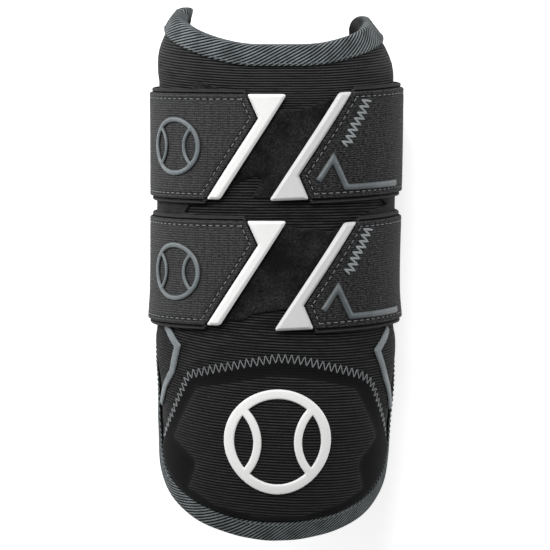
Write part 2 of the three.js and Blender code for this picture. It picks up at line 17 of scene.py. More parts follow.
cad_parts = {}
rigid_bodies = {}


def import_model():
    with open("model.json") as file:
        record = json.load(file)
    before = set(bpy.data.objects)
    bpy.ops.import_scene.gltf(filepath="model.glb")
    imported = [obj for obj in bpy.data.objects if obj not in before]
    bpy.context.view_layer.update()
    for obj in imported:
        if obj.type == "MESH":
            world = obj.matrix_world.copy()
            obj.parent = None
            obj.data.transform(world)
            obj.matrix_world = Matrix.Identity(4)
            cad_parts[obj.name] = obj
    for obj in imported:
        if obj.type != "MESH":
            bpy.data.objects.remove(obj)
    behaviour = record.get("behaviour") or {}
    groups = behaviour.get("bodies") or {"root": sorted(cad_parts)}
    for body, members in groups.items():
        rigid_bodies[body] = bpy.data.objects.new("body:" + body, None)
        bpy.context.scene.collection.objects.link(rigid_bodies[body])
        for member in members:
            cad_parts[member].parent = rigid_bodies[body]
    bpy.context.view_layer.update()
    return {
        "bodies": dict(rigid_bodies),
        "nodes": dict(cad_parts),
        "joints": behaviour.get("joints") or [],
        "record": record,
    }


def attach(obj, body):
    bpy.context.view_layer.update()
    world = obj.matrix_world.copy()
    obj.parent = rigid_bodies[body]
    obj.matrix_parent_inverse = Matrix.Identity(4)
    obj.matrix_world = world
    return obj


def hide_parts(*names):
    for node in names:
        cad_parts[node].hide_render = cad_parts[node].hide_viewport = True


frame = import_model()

# %% [markdown]
# ## The camera
# The guard was seen from straight in front, a little from the upper-arm end and a little from the left.
# A long lens from 1.8 m keeps the straps' edges almost parallel. Each pixel of the 550-pixel picture
# covers 0.45 mm at the middle of the guard, and that sets the lens.

# %% The camera
PIXELS = 550
PIXEL_SIZE = 0.00045
DISTANCE = 1.8
SENSOR = 36.0
lean = math.radians(4)
yaw = math.radians(2)
to_right = Vector((math.cos(yaw), 0, math.sin(yaw)))
to_camera = Vector((-math.sin(yaw) * math.cos(lean), math.sin(lean), math.cos(yaw) * math.cos(lean)))
to_top = to_camera.cross(to_right)
aim = Vector((0, 0, 0.042)) - to_right * 0.6 * PIXEL_SIZE - to_top * 4.1 * PIXEL_SIZE

camera_data = bpy.data.cameras.new("camera")
camera_data.sensor_width = SENSOR
camera_data.lens = SENSOR * DISTANCE / (PIXELS * PIXEL_SIZE)
camera = bpy.data.objects.new("camera", camera_data)
turned = Matrix((to_right, to_top, to_camera)).transposed().to_4x4()
camera.matrix_world = Matrix.Translation(aim + to_camera * DISTANCE) @ turned
bpy.context.scene.collection.objects.link(camera)
bpy.context.scene.camera = camera
print("lens in mm:", round(camera_data.lens, 1))

# %% [markdown]
# ## The body that everything is laid on
# On the real guard every layer follows one curved body, like cloth on an arm. Its girth is a rounded
# section that changes along the guard. The values here are those of the CAD source, in millimetres.
# A place on the body is a distance round the girth from the front line, and a place along the guard.
# That way each piece can be drawn flat, as a maker cuts it, and then laid on.

# %% The body's section
MM = 0.001
LENGTH = 238.0
HALF_WIDE, FRONT_DEEP, BACK_DEEP = 52.5, 44.0, 46.0
FRONT_FULL, BACK_FULL = 2.3, 2.25
WIDEST_HEIGHT = 42.0
SIDE_SHIFT, LENGTH_SHIFT = 0.3, -1.4
COLUMNS = ("at", "left", "right", "front", "back")
SECTIONS = np.array([
    (-1.0, 0.79, 0.78, 0.62, 0.9),
    (-0.9, 0.885, 0.85, 0.8, 0.92),
    (-0.75, 0.98, 0.93, 0.93, 0.96),
    (-0.55, 1.0, 0.965, 1.0, 1.0),
    (-0.4, 1.0, 0.995, 1.0, 1.0),
    (-0.25, 1.025, 1.01, 1.0, 1.0),
    (-0.05, 1.0, 0.975, 1.0, 1.0),
    (0.3, 0.995, 0.99, 1.0, 1.0),
    (0.6, 0.995, 1.0, 0.995, 1.0),
    (0.75, 1.0, 0.995, 0.985, 0.985),
    (0.87, 0.988, 0.925, 0.97, 0.95),
    (0.95, 0.915, 0.8, 0.955, 0.91),
    (1.0, 0.83, 0.71, 0.95, 0.86),
])


def share_at(y, column):
    """One column of the table at places along the guard, as a smooth curve through its rows."""
    at = SECTIONS[:, 0]
    values = SECTIONS[:, COLUMNS.index(column)]
    last = len(at) - 1
    before = np.maximum(np.arange(last + 1) - 1, 0)
    after = np.minimum(np.arange(last + 1) + 1, last)
    slope = (values[after] - values[before]) / (at[after] - at[before])
    place = np.clip(np.asarray(y, float) / (LENGTH / 2), -1, 1)
    row = np.clip(np.searchsorted(at, place, side="right") - 1, 0, last - 1)
    span = at[row + 1] - at[row]
    t = (place - at[row]) / span
    rise = values[row] * (1 + 2 * t) * (1 - t) ** 2 + values[row + 1] * t * t * (3 - 2 * t)
    return rise + slope[row] * span * t * (1 - t) ** 2 + slope[row + 1] * span * t * t * (t - 1)


def section_radius(turn, half, front, back):
    facing = np.cos(turn)
    deep = np.where(facing > 0, front, back)
    full = np.where(facing > 0, FRONT_FULL, BACK_FULL)
    total = (np.abs(np.sin(turn)) / half) ** full + (np.abs(facing) / deep) ** full
    return total ** (-1 / full)


turn_table = np.linspace(0, math.pi, 721)
radius_table = section_radius(turn_table, HALF_WIDE, FRONT_DEEP, BACK_DEEP)
outline_table = np.stack([radius_table * np.sin(turn_table), radius_table * np.cos(turn_table)], 1)
girth_table = np.concatenate([[0], np.cumsum(np.linalg.norm(np.diff(outline_table, axis=0), axis=1))])
HALF_GIRTH = girth_table[-1]
print("half the body's girth in mm:", round(HALF_GIRTH, 1))

# %% Laying a point on the body


def skin_point(girth, y):
    girth, y = np.broadcast_arrays(np.asarray(girth, float), np.asarray(y, float))
    past = np.abs(girth) > HALF_GIRTH
    around = np.where(past, girth - np.sign(girth) * 2 * HALF_GIRTH, girth)
    turn = np.sign(around) * np.interp(np.abs(around), girth_table, turn_table)
    half = HALF_WIDE * np.where(around < 0, share_at(y, "left"), share_at(y, "right"))
    radius = section_radius(turn, half, FRONT_DEEP * share_at(y, "front"), BACK_DEEP * share_at(y, "back"))
    return np.stack([radius * np.sin(turn), y, WIDEST_HEIGHT + radius * np.cos(turn)], -1)


def on_skin(girth, y, height):
    """A point above the body: girth, place along the guard and height over the skin, in millimetres."""
    step = 0.2
    girth, y, height = np.broadcast_arrays(*(np.asarray(v, float) for v in (girth, y, height)))
    around = skin_point(girth + step, y) - skin_point(girth - step, y)
    along = skin_point(girth, y + step) - skin_point(girth, y - step)
    normal = np.cross(around, along)
    normal /= np.linalg.norm(normal, axis=-1, keepdims=True)
    return skin_point(girth, y) + normal * height[..., None]


front = on_skin(0, 0, 0)
print("front line's height in mm:", round(float(front[2]), 1))

# %% [markdown]
# ## Making a piece
# Every piece ends as a mesh in metres that rides on the guard and takes the place of its CAD solid.
# Each point also keeps its place in the flat cloth as a UV, so that ribs and weave follow the cloth
# round the arm, as they do on the real guard. Several pieces cut from flat cloth also print their flat size.

# %% From points to a piece
CLOTH_UV = "cloth"
UV_SCALE = 0.01


def make_piece(name, points, faces, flat, finish, slot, nodes=(), smooth=True):
    mesh = bpy.data.meshes.new(name)
    placed = (np.asarray(points).reshape(-1, 3) + (SIDE_SHIFT, LENGTH_SHIFT, 0)) * MM
    mesh.from_pydata(placed.tolist(), [], [tuple(face) for face in faces])
    mesh.validate()
    corner_points = np.empty(len(mesh.loops), int)
    mesh.loops.foreach_get("vertex_index", corner_points)
    layer = mesh.uv_layers.new(name=CLOTH_UV)
    layer.data.foreach_set("uv", (np.asarray(flat)[corner_points] * UV_SCALE).astype(np.float32).ravel())
    mesh.materials.append(finish)
    mesh.polygons.foreach_set("use_smooth", [smooth] * len(mesh.polygons))
    mesh.update()
    piece = bpy.data.objects.new(name, mesh)
    bpy.context.scene.collection.objects.link(piece)
    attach(piece, "root")
    if nodes:
        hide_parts(*nodes)
    print(name, "faces:", len(mesh.polygons))
    return piece


def keep_values(piece, name, values):
    """Keeps one number per point on a piece, for its finish to read."""
    layer = piece.data.attributes.new(name, "FLOAT", "POINT")
    layer.data.foreach_set("value", np.asarray(values, np.float32))


def loop_area(line):
    """The area inside a flat closed outline, in square metres."""
    x, y = np.asarray(line, float).T
    return abs(float((x * np.roll(y, -1) - y * np.roll(x, -1)).sum())) / 2 * MM * MM


def declare_sheet(piece, flat, area):
    """Prints the size that a piece was cut to, from its flat outline."""
    wide, long = (np.ptp(flat, axis=0) * MM).tolist()
    print(piece.name, "cut in mm:", round(wide * 1000), "by", round(long * 1000),
          "area in cm2:", round(area * 1e4))

# %% [markdown]
# ## Finishes
# All the finishes start from one plain shader, and each gets its own colour, roughness and relief from
# nodes. A small helper makes nodes and joins them, so that a finish reads as a recipe.
# Cloth reads its place from the cloth UV: U runs round the arm, V along it.

# %% A recipe's tools


class Recipe:
    """One finish: a shader with its nodes."""

    def __init__(self, name, roughness, sheen=0.0, sheen_tint=(1, 1, 1), specular=0.5):
        self.material = bpy.data.materials.new(name)
        self.material.use_nodes = True
        self.tree = self.material.node_tree
        self.shader = self.tree.nodes["Principled BSDF"]
        self.shader.inputs["Roughness"].default_value = roughness
        self.shader.inputs["Specular IOR Level"].default_value = specular
        self.shader.inputs["Sheen Weight"].default_value = sheen
        self.shader.inputs["Sheen Tint"].default_value = (*sheen_tint, 1)

    def put(self, socket, value):
        if isinstance(value, bpy.types.NodeSocket):
            self.tree.links.new(value, socket)
        else:
            socket.default_value = value

    def math(self, operation, first, second=0.0, third=0.0, clamp=False):
        node = self.tree.nodes.new("ShaderNodeMath")
        node.operation = operation
        node.use_clamp = clamp
        for socket, value in zip(node.inputs, (first, second, third)):
            self.put(socket, value)
        return node.outputs[0]

    def cloth(self):
        """The place in the flat cloth in millimetres, as U and V."""
        uv = self.tree.nodes.new("ShaderNodeUVMap")
        uv.uv_map = CLOTH_UV
        parts = self.tree.nodes.new("ShaderNodeSeparateXYZ")
        self.put(parts.inputs[0], uv.outputs[0])
        return [self.math("MULTIPLY", parts.outputs[axis], 1 / UV_SCALE) for axis in (0, 1)]

    def place(self):
        """The place on the guard in millimetres."""
        coordinates = self.tree.nodes.new("ShaderNodeTexCoord")
        scale = self.tree.nodes.new("ShaderNodeVectorMath")
        scale.operation = "SCALE"
        self.put(scale.inputs[0], coordinates.outputs["Object"])
        self.put(scale.inputs["Scale"], 1 / MM)
        return scale.outputs[0]

    def noise(self, at, per_mm, detail=3.0, roughness=0.55):
        node = self.tree.nodes.new("ShaderNodeTexNoise")
        self.put(node.inputs["Vector"], at)
        self.put(node.inputs["Scale"], per_mm)
        self.put(node.inputs["Detail"], detail)
        self.put(node.inputs["Roughness"], roughness)
        return node.outputs[0]

    def stretched(self, x_scale, y_scale):
        """The place in the cloth with each direction scaled on its own, for long streaks."""
        cloth = self.cloth()
        both = self.tree.nodes.new("ShaderNodeCombineXYZ")
        self.put(both.inputs[0], self.math("MULTIPLY", cloth[0], x_scale))
        self.put(both.inputs[1], self.math("MULTIPLY", cloth[1], y_scale))
        return both.outputs[0]

    def value(self, name):
        node = self.tree.nodes.new("ShaderNodeAttribute")
        node.attribute_name = name
        return node.outputs["Fac"]

    def wave(self, along, pitch, offset=0.0):
        """A wave from 0 to 1 with one crest each pitch."""
        turns = self.math("MULTIPLY_ADD", along, 2 * math.pi / pitch, offset)
        return self.math("MULTIPLY_ADD", self.math("SINE", turns), 0.5, 0.5)

    def blend(self, share, low, high):
        node = self.tree.nodes.new("ShaderNodeMix")
        node.data_type = "RGBA"
        self.put(node.inputs[0], share)
        for socket, colour in ((node.inputs[6], low), (node.inputs[7], high)):
            self.put(socket, (*colour, 1) if isinstance(colour, tuple) else colour)
        return node.outputs[2]

    def remap(self, value, low, high, to_low, to_high):
        node = self.tree.nodes.new("ShaderNodeMapRange")
        for socket, number in zip(node.inputs, (value, low, high, to_low, to_high)):
            self.put(socket, number)
        return node.outputs[0]

    def colour(self, value):
        self.put(self.shader.inputs["Base Color"], value)

    def rough(self, value):
        self.put(self.shader.inputs["Roughness"], value)

    def relief(self, height, depth):
        """Bump of the given depth in millimetres, from a height of 0 to 1."""
        node = self.tree.nodes.new("ShaderNodeBump")
        node.inputs["Strength"].default_value = 1.0
        node.inputs["Distance"].default_value = depth * MM
        self.put(node.inputs["Height"], height)
        self.put(self.shader.inputs["Normal"], node.outputs[0])


print("recipe tools ready")

# %% [markdown]
# ## The flat pattern of the shell
# The shell is cut as one flat piece: a wide U at the elbow, straight sides, and two horns with a dip
# between them at the upper arm. Across runs from -1 to 1 and up runs from the elbow to the horns, so
# a grid in those two numbers fills the pattern whatever its outline does. The horns' corners are a little
# softer here than in the CAD solids.

# %% The shell's pattern
REACH_LEFT, REACH_RIGHT = 110.0, 116.0
WING_START, WING_END, WING_SHARE = -5.0, -70.0, 0.7
CUP_START, CUP_END, CUP_FULL, CUP_CORNER = -62.0, -116.2, 2.2, -98.0
TOP_CORNER, TOP_DIP = 118.5, 15.8
HORN_START, HORN_SHARE, RIGHT_HORN_DROP = 92.0, 0.82, 3.4
CUP_DEPTH = CUP_START - CUP_END
CUP_HALF = REACH_LEFT * WING_SHARE


def ease(start, end, value):
    low, high = min(start, end), max(start, end)
    t = np.clip((np.asarray(value, float) - low) / (high - low), 0, 1)
    return t * t * (3 - 2 * t)


def reach_at(side, y):
    reach = np.where(side < 0, REACH_LEFT, REACH_LEFT + (REACH_RIGHT - REACH_LEFT) * ease(20, 90, y))
    wing = 1 + (WING_SHARE - 1) * (1 - ease(WING_START, WING_END, y))
    below = np.maximum(0, (CUP_START - y) / CUP_DEPTH)
    cup = np.maximum(0, 1 - below ** CUP_FULL) ** (1 / CUP_FULL)
    over = np.clip((y - HORN_START) / (TOP_CORNER - HORN_START), 0, 1)
    horn = 1 - (1 - HORN_SHARE) * (1 - np.sqrt(1 - over * over))
    return reach * wing * cup * horn


def cup_line(girth):
    share = np.minimum(1, np.abs(girth) / CUP_HALF)
    return CUP_START - CUP_DEPTH * (1 - share ** CUP_FULL) ** (1 / CUP_FULL)


def pattern_point(across, up):
    across, up = np.broadcast_arrays(np.asarray(across, float), np.asarray(up, float))
    girth = across * reach_at(across, up)
    corner_girth = across * reach_at(across, np.full_like(up, CUP_CORNER))
    sag = (CUP_CORNER - cup_line(corner_girth)) * (1 - ease(CUP_CORNER, -15, up))
    rise = ease(0.1, 0.9, np.abs(across))
    drop = np.where(across > 0, RIGHT_HORN_DROP * ease(0.3, 0.9, across), 0)
    return girth, up - sag - (TOP_DIP * (1 - rise) + drop) * ease(55, TOP_CORNER, up)


# %% The shell's edge, once round
EDGE_STEP = 0.6


def evenly(points, step, closed=True):
    """The same line with its points a fixed distance apart."""
    points = np.asarray(points, float)
    if closed:
        points = np.vstack([points, points[:1]])
    length = np.concatenate([[0], np.cumsum(np.linalg.norm(np.diff(points, axis=0), axis=1))])
    count = max(2, int(round(length[-1] / step)))
    stations = np.linspace(0, length[-1], count + 1)
    if closed:
        stations = stations[:-1]
    return np.stack([np.interp(stations, length, points[:, axis]) for axis in range(points.shape[1])], 1)


across_fine = np.linspace(-1, 1, 400)
up_fine = CUP_CORNER + (TOP_CORNER - CUP_CORNER) * np.sin(np.linspace(0, math.pi / 2, 600))
sides = [
    pattern_point(across_fine, CUP_CORNER),
    pattern_point(1, up_fine[1:]),
    pattern_point(across_fine[::-1][1:], TOP_CORNER),
    pattern_point(-1, up_fine[::-1][1:-1]),
]
edge_line = evenly(np.vstack([np.stack(side, 1) for side in sides]), EDGE_STEP)
edge_length = len(edge_line) * EDGE_STEP
print("edge length in mm:", round(edge_length))


def line_distance(points, loops):
    """Distance from each point to the nearest of some closed lines."""
    points = np.asarray(points, float).reshape(-1, 2)
    nearest = np.full(len(points), np.inf)
    for loop in loops:
        starts = np.asarray(loop, float)
        runs = np.roll(starts, -1, axis=0) - starts
        square = np.maximum((runs ** 2).sum(1), 1e-12)
        for start, run, size in zip(starts, runs, square):
            away = points - start
            share = np.clip((away @ run) / size, 0, 1)
            nearest = np.minimum(nearest, np.linalg.norm(away - share[:, None] * run, axis=1))
    return nearest


coarse_edge = evenly(edge_line, 3.0)


def edge_share(girth, y):
    """One near the shell's edge under the tape, nought well inside."""
    flat = np.stack(np.broadcast_arrays(girth, y), -1)
    distance = line_distance(flat.reshape(-1, 2), [coarse_edge]).reshape(flat.shape[:-1])
    return 1 - ease(12, 22, distance)

# %% [markdown]
# ## The heights of the layers
# Each layer has its own height over the skin, with a small clearance to the layer below it. The shell
# thins under the tape. These are the CAD source's values, so every dressed piece sits where its solid is.
# The straps' width and places stand here too, because the padding is held down under them.

# %% Layer heights
CLEARANCE, WRAP_CLEARANCE = 0.3, 0.4
PAD_THICK, PAD_EDGE_THICK, PAD_EDGE_SINK = 6.0, 2.4, 0.65
LINER_THICK, LINER_EDGE_THICK, LINER_GAP, LINER_INSET = 1.3, 1.0, 0.9, 1.2
TAPE_THICK, TAPE_LEG, TAPE_SINK, INSIDE_GAP = 1.0, 8.5, 0.2, 0.95
LOOP_THICK, CAP_BASE, CAP_FIELD, STRIPE_THICK = 1.0, 1.2, 1.5, 0.8
BAND_THICK, PANEL_THICK, TRIM_THICK, MARK_THICK = 1.4, 1.0, 1.8, 1.0
BAND_LIFT = CLEARANCE + LOOP_THICK + WRAP_CLEARANCE
PANEL_LIFT = BAND_LIFT + BAND_THICK + CLEARANCE
MARK_LIFT = PANEL_LIFT + PANEL_THICK + CLEARANCE
CAP_MARK_LIFT = CLEARANCE + CAP_BASE + CAP_FIELD + CLEARANCE
STRAP_WIDTH = 50.4
UPPER_AT, LOWER_AT = 58.9, 3.5
print("mark height over the skin in mm:", round(MARK_LIFT, 1))

# %% [markdown]
# ## The shell's cloth
# The face of the shell is a corded cloth: fine ribs run across the arm, just over a millimetre apart. The
# cloth is stretched over foam. It could be one smooth surface with painted ribs, but the light has to catch
# each rib, so the finish gives relief as well as colour. The shell itself is made further down, once the
# swell of its padding is known.

# %% A shell from a grid
RIB_SMILE = 0.32


def grid_faces(wide, high):
    """Faces of a closed solid made of an outer grid, an inner grid and a rim."""
    start = np.arange(wide * high).reshape(high, wide)
    a, b, c, d = start[:-1, :-1], start[:-1, 1:], start[1:, 1:], start[1:, :-1]
    layer = wide * high
    outer = np.stack([a, b, c, d], -1).reshape(-1, 4)
    inner = np.stack([a, d, c, b], -1).reshape(-1, 4) + layer
    ring = np.concatenate([start[0], start[1:, -1], start[-1, -2::-1], start[-2:0:-1, 0]])
    following = np.roll(ring, -1)
    rim = np.stack([ring, ring + layer, following + layer, following], -1)
    return np.vstack([outer, inner, rim])


def grid_piece(name, across, up, outer, inner, finish, slot, node):
    """A closed layer over the pattern. Near the horns its ribs follow a third of the pattern's dip."""
    girth, y = pattern_point(across[None, :], up[:, None])
    near = edge_share(girth, y)
    points = [on_skin(girth, y, height(girth, y, near)) for height in (outer, inner)]
    flat = np.stack([girth, y + RIB_SMILE * (up[:, None] - y) * (y > 0)], -1).reshape(-1, 2)
    faces = grid_faces(len(across), len(up))
    return make_piece(name, np.stack(points), faces, np.vstack([flat, flat]), finish, slot, [node])

# %% The corded finish
RIB_PITCH = 1.26
BLACK = (0.0006, 0.0006, 0.0007)
RIB_TOP = (0.052, 0.052, 0.053)
RIB_BOW, RIB_LEAN = 0.0012, 0.05
BOWED_BELOW, STRAIGHT_ABOVE = -12, 26
# Painted light: the shell's ribs are painted lighter towards the horns, as if the lamps lit that end more.
PAINTED_LIGHT_FROM, PAINTED_LIGHT_TO, PAINTED_LIGHT_TONE = 60, 100, 1.9
RIB_DEPTH = 0.34
YARN_PITCH, YARN_SHARE = 0.95, 0.2
CORDED_SURFACE = (0.85, 0.02, (0.7, 0.72, 0.75), 0.12)


def rib_run(finish, cloth):
    """How far along the guard a rib lies: the ribs dip in the middle and rise to both sides."""
    bowed = finish.math("MULTIPLY", finish.math("POWER", finish.math("ABSOLUTE", cloth[0]), 2.0), RIB_BOW)
    leaned = finish.math("MULTIPLY_ADD", cloth[0], RIB_LEAN, finish.math("MULTIPLY", bowed, -1.0))
    share = finish.remap(cloth[1], BOWED_BELOW, STRAIGHT_ABOVE, 1.0, 0.0)
    return finish.math("MULTIPLY_ADD", leaned, share, cloth[1])


def speckle(finish, amount):
    """Sparse bright fibre ends."""
    spots = finish.noise(finish.place(), 2.6, 2.0, 0.5)
    return finish.math("MULTIPLY", finish.remap(spots, 0.66, 0.78, 0.0, 1.0), amount)


def corded(name, pitch, low, high, depth, bowed=False, painted_rim_shading=False):
    """Cloth with ribs across the arm. Streaks along the ribs and fibre ends break them up."""
    finish = Recipe(name, *CORDED_SURFACE)
    cloth = finish.cloth()
    wander = finish.noise(finish.place(), 0.04, 2.0)
    run = rib_run(finish, cloth) if bowed else cloth[1]
    rib = finish.wave(run, pitch, finish.math("MULTIPLY", wander, 1.5))
    crest = finish.math("POWER", rib, 1.6)
    yarn = finish.wave(cloth[0], YARN_PITCH, finish.math("MULTIPLY", wander, 2.0))
    crossed = finish.math("MULTIPLY", crest, finish.remap(yarn, 0, 1, 1 - YARN_SHARE, 1.0))
    fuzz = finish.noise(finish.place(), 1.6, 4.0, 0.7)
    streak = finish.noise(finish.stretched(0.1, 1.1), 1.0, 4.0, 0.65)
    weakest, strongest = (0.3, 1.5) if bowed else (0.45, 1.25)
    broken = finish.remap(streak, 0.32, 0.68, weakest, strongest)
    fuzzy = finish.remap(fuzz, 0.3, 0.7, 0.6, 1.3)
    tone = finish.math("MULTIPLY", finish.math("MULTIPLY", crossed, broken), fuzzy)
    worn = finish.remap(finish.noise(finish.place(), 0.025, 3.0), 0.35, 0.7, 0.75, 1.2)
    # Painted light: from 60 to 100 mm along the cloth, the shell's ribs are painted up to 1.9 times lighter
    # towards the horns.
    painted_upper_light = finish.remap(cloth[1], PAINTED_LIGHT_FROM, PAINTED_LIGHT_TO, 1.0, PAINTED_LIGHT_TONE) if bowed else 1.0
    tone = finish.math("MULTIPLY", finish.math("MULTIPLY", tone, worn), painted_upper_light)
    tone = finish.math("ADD", tone, speckle(finish, 0.5))
    # Painted light: the rim value paints the band's rolled rim lighter, as a highlight, and the furrow beside
    # it near black, as shade.
    if painted_rim_shading:
        tone = finish.math("MULTIPLY_ADD", finish.value("rim"), finish.remap(yarn, 0, 1, 0.5, 0.8), tone)
    finish.colour(finish.blend(finish.math("MULTIPLY", tone, 1.0, clamp=True), low, high))
    height = finish.math("MULTIPLY_ADD", yarn, YARN_SHARE * 0.6, finish.math("MULTIPLY_ADD", fuzz, 0.2, rib))
    finish.relief(height, depth)
    return finish.material


ribbed_cloth = corded("ribbed_cloth", RIB_PITCH, BLACK, RIB_TOP, RIB_DEPTH, bowed=True)
print("rib pitch in mm:", RIB_PITCH)

# %% The shell's grid
across_grid = np.linspace(-1, 1, 121)
up_grid = np.concatenate([np.linspace(CUP_CORNER, HORN_START, 150)[:-1], up_fine[up_fine > HORN_START][::14]])
up_grid = np.append(up_grid[up_grid < TOP_CORNER - 0.05], TOP_CORNER)

# %% [markdown]
# ## The lining
# Inside, a smooth dark lining covers the foam. It shows at the right horn and from both ends. It is a
# thin closed layer that stops just short of the shell's edge, where the tape holds it.

# %% The lining
lining = Recipe("lining_cloth", 0.9, 0.0, (0.6, 0.6, 0.65), 0.06)
weave = lining.cloth()
knit = lining.math("MULTIPLY", lining.wave(weave[0], 0.7), lining.wave(weave[1], 0.9))
mottle = lining.noise(lining.place(), 0.06, 3.0)
mottled = lining.remap(mottle, 0.3, 0.7, 0.0, 1.0)
lining.colour(lining.blend(mottled, (0.006, 0.006, 0.007), (0.016, 0.016, 0.018)))
lining.relief(lining.math("MULTIPLY_ADD", mottle, 0.6, knit), 0.08)
liner_across = np.linspace(-1, 1, 81) * (1 - LINER_INSET / REACH_LEFT)
liner_up = np.clip(up_grid[::2], CUP_CORNER + LINER_INSET, TOP_CORNER - LINER_INSET)
liner_up = np.unique(np.append(liner_up, TOP_CORNER - LINER_INSET))


def liner_top(girth, y, near):
    deep, edge = -PAD_THICK - LINER_GAP, -PAD_EDGE_SINK - PAD_EDGE_THICK - CLEARANCE
    return deep + (edge - deep) * near


def liner_under(girth, y, near):
    return liner_top(girth, y, near) - LINER_THICK + (LINER_THICK - LINER_EDGE_THICK) * near


liner = grid_piece("shell_lining", liner_across, liner_up, liner_top, liner_under,
                   lining.material, "lining", "liner")
liner_edge = np.vstack([
    np.stack(pattern_point(liner_across, liner_up[0]), 1),
    np.stack(pattern_point(liner_across[-1], liner_up[1:]), 1),
    np.stack(pattern_point(liner_across[::-1][1:], liner_up[-1]), 1),
    np.stack(pattern_point(liner_across[0], liner_up[::-1][1:-1]), 1),
])
declare_sheet(liner, liner_edge, loop_area(liner_edge))

# %% [markdown]
# ## The bound edge
# A slate-grey twill tape is folded over the whole edge. It is swept once round: an outer leg, a rounded
# nose and an inner leg. Twill has fine slanting ridges. They could be mesh, but ridges this close need a
# very fine one, so the finish draws them from the tape's own place: the way along the edge and the way
# across the tape. The ridges then turn with the tape round the horns.

# %% The tape
edge_inner = -PAD_EDGE_SINK - PAD_EDGE_THICK - CLEARANCE - LINER_EDGE_THICK
tape_outside = TAPE_THICK - TAPE_SINK
tape_inside_top = edge_inner - INSIDE_GAP
tape_inside = tape_inside_top - TAPE_THICK
tape_middle = (tape_outside + tape_inside) / 2
tape_nose = -CLEARANCE - TAPE_THICK
nose_half = (tape_outside - tape_inside) / 2
nose_turns = np.linspace(0, math.pi, 15)
lead_in = [(TAPE_LEG, tape_outside - 0.4)]
outer_leg = [(TAPE_LEG * share, tape_outside) for share in (0.98, 0.9, 0.78, 0.64, 0.5, 0.36, 0.22, 0.1)]
nose = [(0.35 + (tape_nose - 0.35) * math.sin(turn), tape_middle + nose_half * math.cos(turn))
        for turn in nose_turns]
inner_leg = [(TAPE_LEG * share, tape_inside) for share in (0.25, 0.5, 0.75, 0.985)]
hidden = [(TAPE_LEG, tape_inside + 0.3), (TAPE_LEG, tape_inside_top), (-CLEARANCE, tape_inside_top),
          (-CLEARANCE, -TAPE_SINK), (TAPE_LEG / 2, -TAPE_SINK), (TAPE_LEG, -TAPE_SINK)]
profile = np.array(lead_in + outer_leg + nose + inner_leg + hidden)

along = np.roll(edge_line, -4, axis=0) - np.roll(edge_line, 4, axis=0)
along /= np.linalg.norm(along, axis=1, keepdims=True)
inward = np.stack([-along[:, 1], along[:, 0]], 1)
station = np.arange(len(edge_line)) * EDGE_STEP
across_tape = np.concatenate([[0], np.cumsum(np.linalg.norm(np.diff(profile, axis=0), axis=1))])
ripple = 0.12 * np.sin(station / 7.3) + 0.1 * np.sin(station / 3.1 + 1.7)
flat_edge = edge_line[:, None, :] + inward[:, None, :] * profile[None, :, :1]
height = profile[None, :, 1] + ripple[:, None] * (profile[:, 1] > tape_middle)[None, :] * 0.6
tape_points = on_skin(flat_edge[..., 0], flat_edge[..., 1], height)
count, width = tape_points.shape[:2]
first = np.arange(count * width).reshape(count, width)
following = np.roll(first, -1, axis=0)
tape_faces = np.stack([first, np.roll(first, -1, axis=1), np.roll(following, -1, axis=1), following], -1)
tape_flat = np.stack(np.broadcast_arrays(station[:, None], across_tape[None, :]), -1)

# %% The tape's finish
TWILL_ALONG, TWILL_ACROSS = 2.7, 1.45
twills = round(edge_length / TWILL_ALONG)
twill = Recipe("twill_tape", 0.85, 0.0, (0.8, 0.85, 0.9), 0.1)
fine = twill.cloth()
slant = twill.math("MULTIPLY", fine[1], 2 * math.pi / TWILL_ACROSS)
ridge = twill.wave(fine[0], edge_length / twills, slant)
yarn = twill.wave(twill.math("SUBTRACT", fine[0], twill.math("MULTIPLY", fine[1], 2.1)), 0.9)
speck = twill.noise(twill.place(), 2.2, 4.0, 0.7)
patchy = twill.remap(twill.noise(twill.place(), 0.12, 3.0), 0.35, 0.7, 0.6, 1.2)
lit = twill.math("MULTIPLY", twill.remap(ridge, 0.12, 0.9, 0.0, 1.0), twill.remap(speck, 0.3, 0.7, 0.6, 1.25))
lit = twill.math("MULTIPLY", lit, twill.remap(yarn, 0, 1, 0.75, 1.1))
lit = twill.math("MULTIPLY", lit, patchy, clamp=True)
outside = twill.blend(lit, (0.0015, 0.0018, 0.002), (0.27, 0.3, 0.31))
# Painted shade: where the inside value is one, the tape is painted near black, as shade inside the shell.
twill.colour(twill.blend(twill.value("inside"), outside, (0.008, 0.008, 0.009)))
twill.relief(twill.math("MULTIPLY_ADD", yarn, 0.15, ridge), 0.45)
tape = make_piece("bound_edge", tape_points, tape_faces.reshape(-1, 4), tape_flat.reshape(-1, 2),
                  twill.material, "edge_tape", ["edge_binding"])
tape_layer = tape.data.uv_layers[CLOTH_UV].data
for face in list(tape.data.polygons)[-width:]:
    for corner in face.loop_indices:
        if tape.data.loops[corner].vertex_index < width:
            tape_layer[corner].uv.x += edge_length * UV_SCALE
nose_start = len(lead_in + outer_leg)
# Painted shade: the inner leg and part of the nose are painted near black; at the right horn more of the nose
# is dark.
at_right_horn = ease(30, 70, edge_line[:, 0]) * ease(60, 90, edge_line[:, 1])
shade_starts = (0.75 - 0.45 * at_right_horn) * math.pi
painted_inside_shade = np.zeros((count, width))
painted_inside_shade[:, nose_start:nose_start + len(nose)] = np.clip(
    (nose_turns[None, :] - shade_starts[:, None]) / (0.2 * math.pi), 0, 1)
painted_inside_shade[:, nose_start + len(nose):] = 1
keep_values(tape, "inside", painted_inside_shade.ravel())
folded = across_tape[nose_start + len(nose) + len(inner_leg) - 1]
tape_cut = np.array([(0, 0), (folded, 0), (folded, edge_length), (0, edge_length)])
declare_sheet(tape, tape_cut, loop_area(tape_cut))
print("twill ridges round the edge:", twills)

# %% [markdown]
# ## Patches cut from flat cloth
# The straps, the tab panels, the loop patch and the cap are cut flat and then wrapped. Each is drawn as
# an outline, filled with points, joined into triangles, and only then laid on the body. Rings of points
# follow the outline just inside it, so that a rolled edge or a line of stitches has points to bend.

# %% Outlines


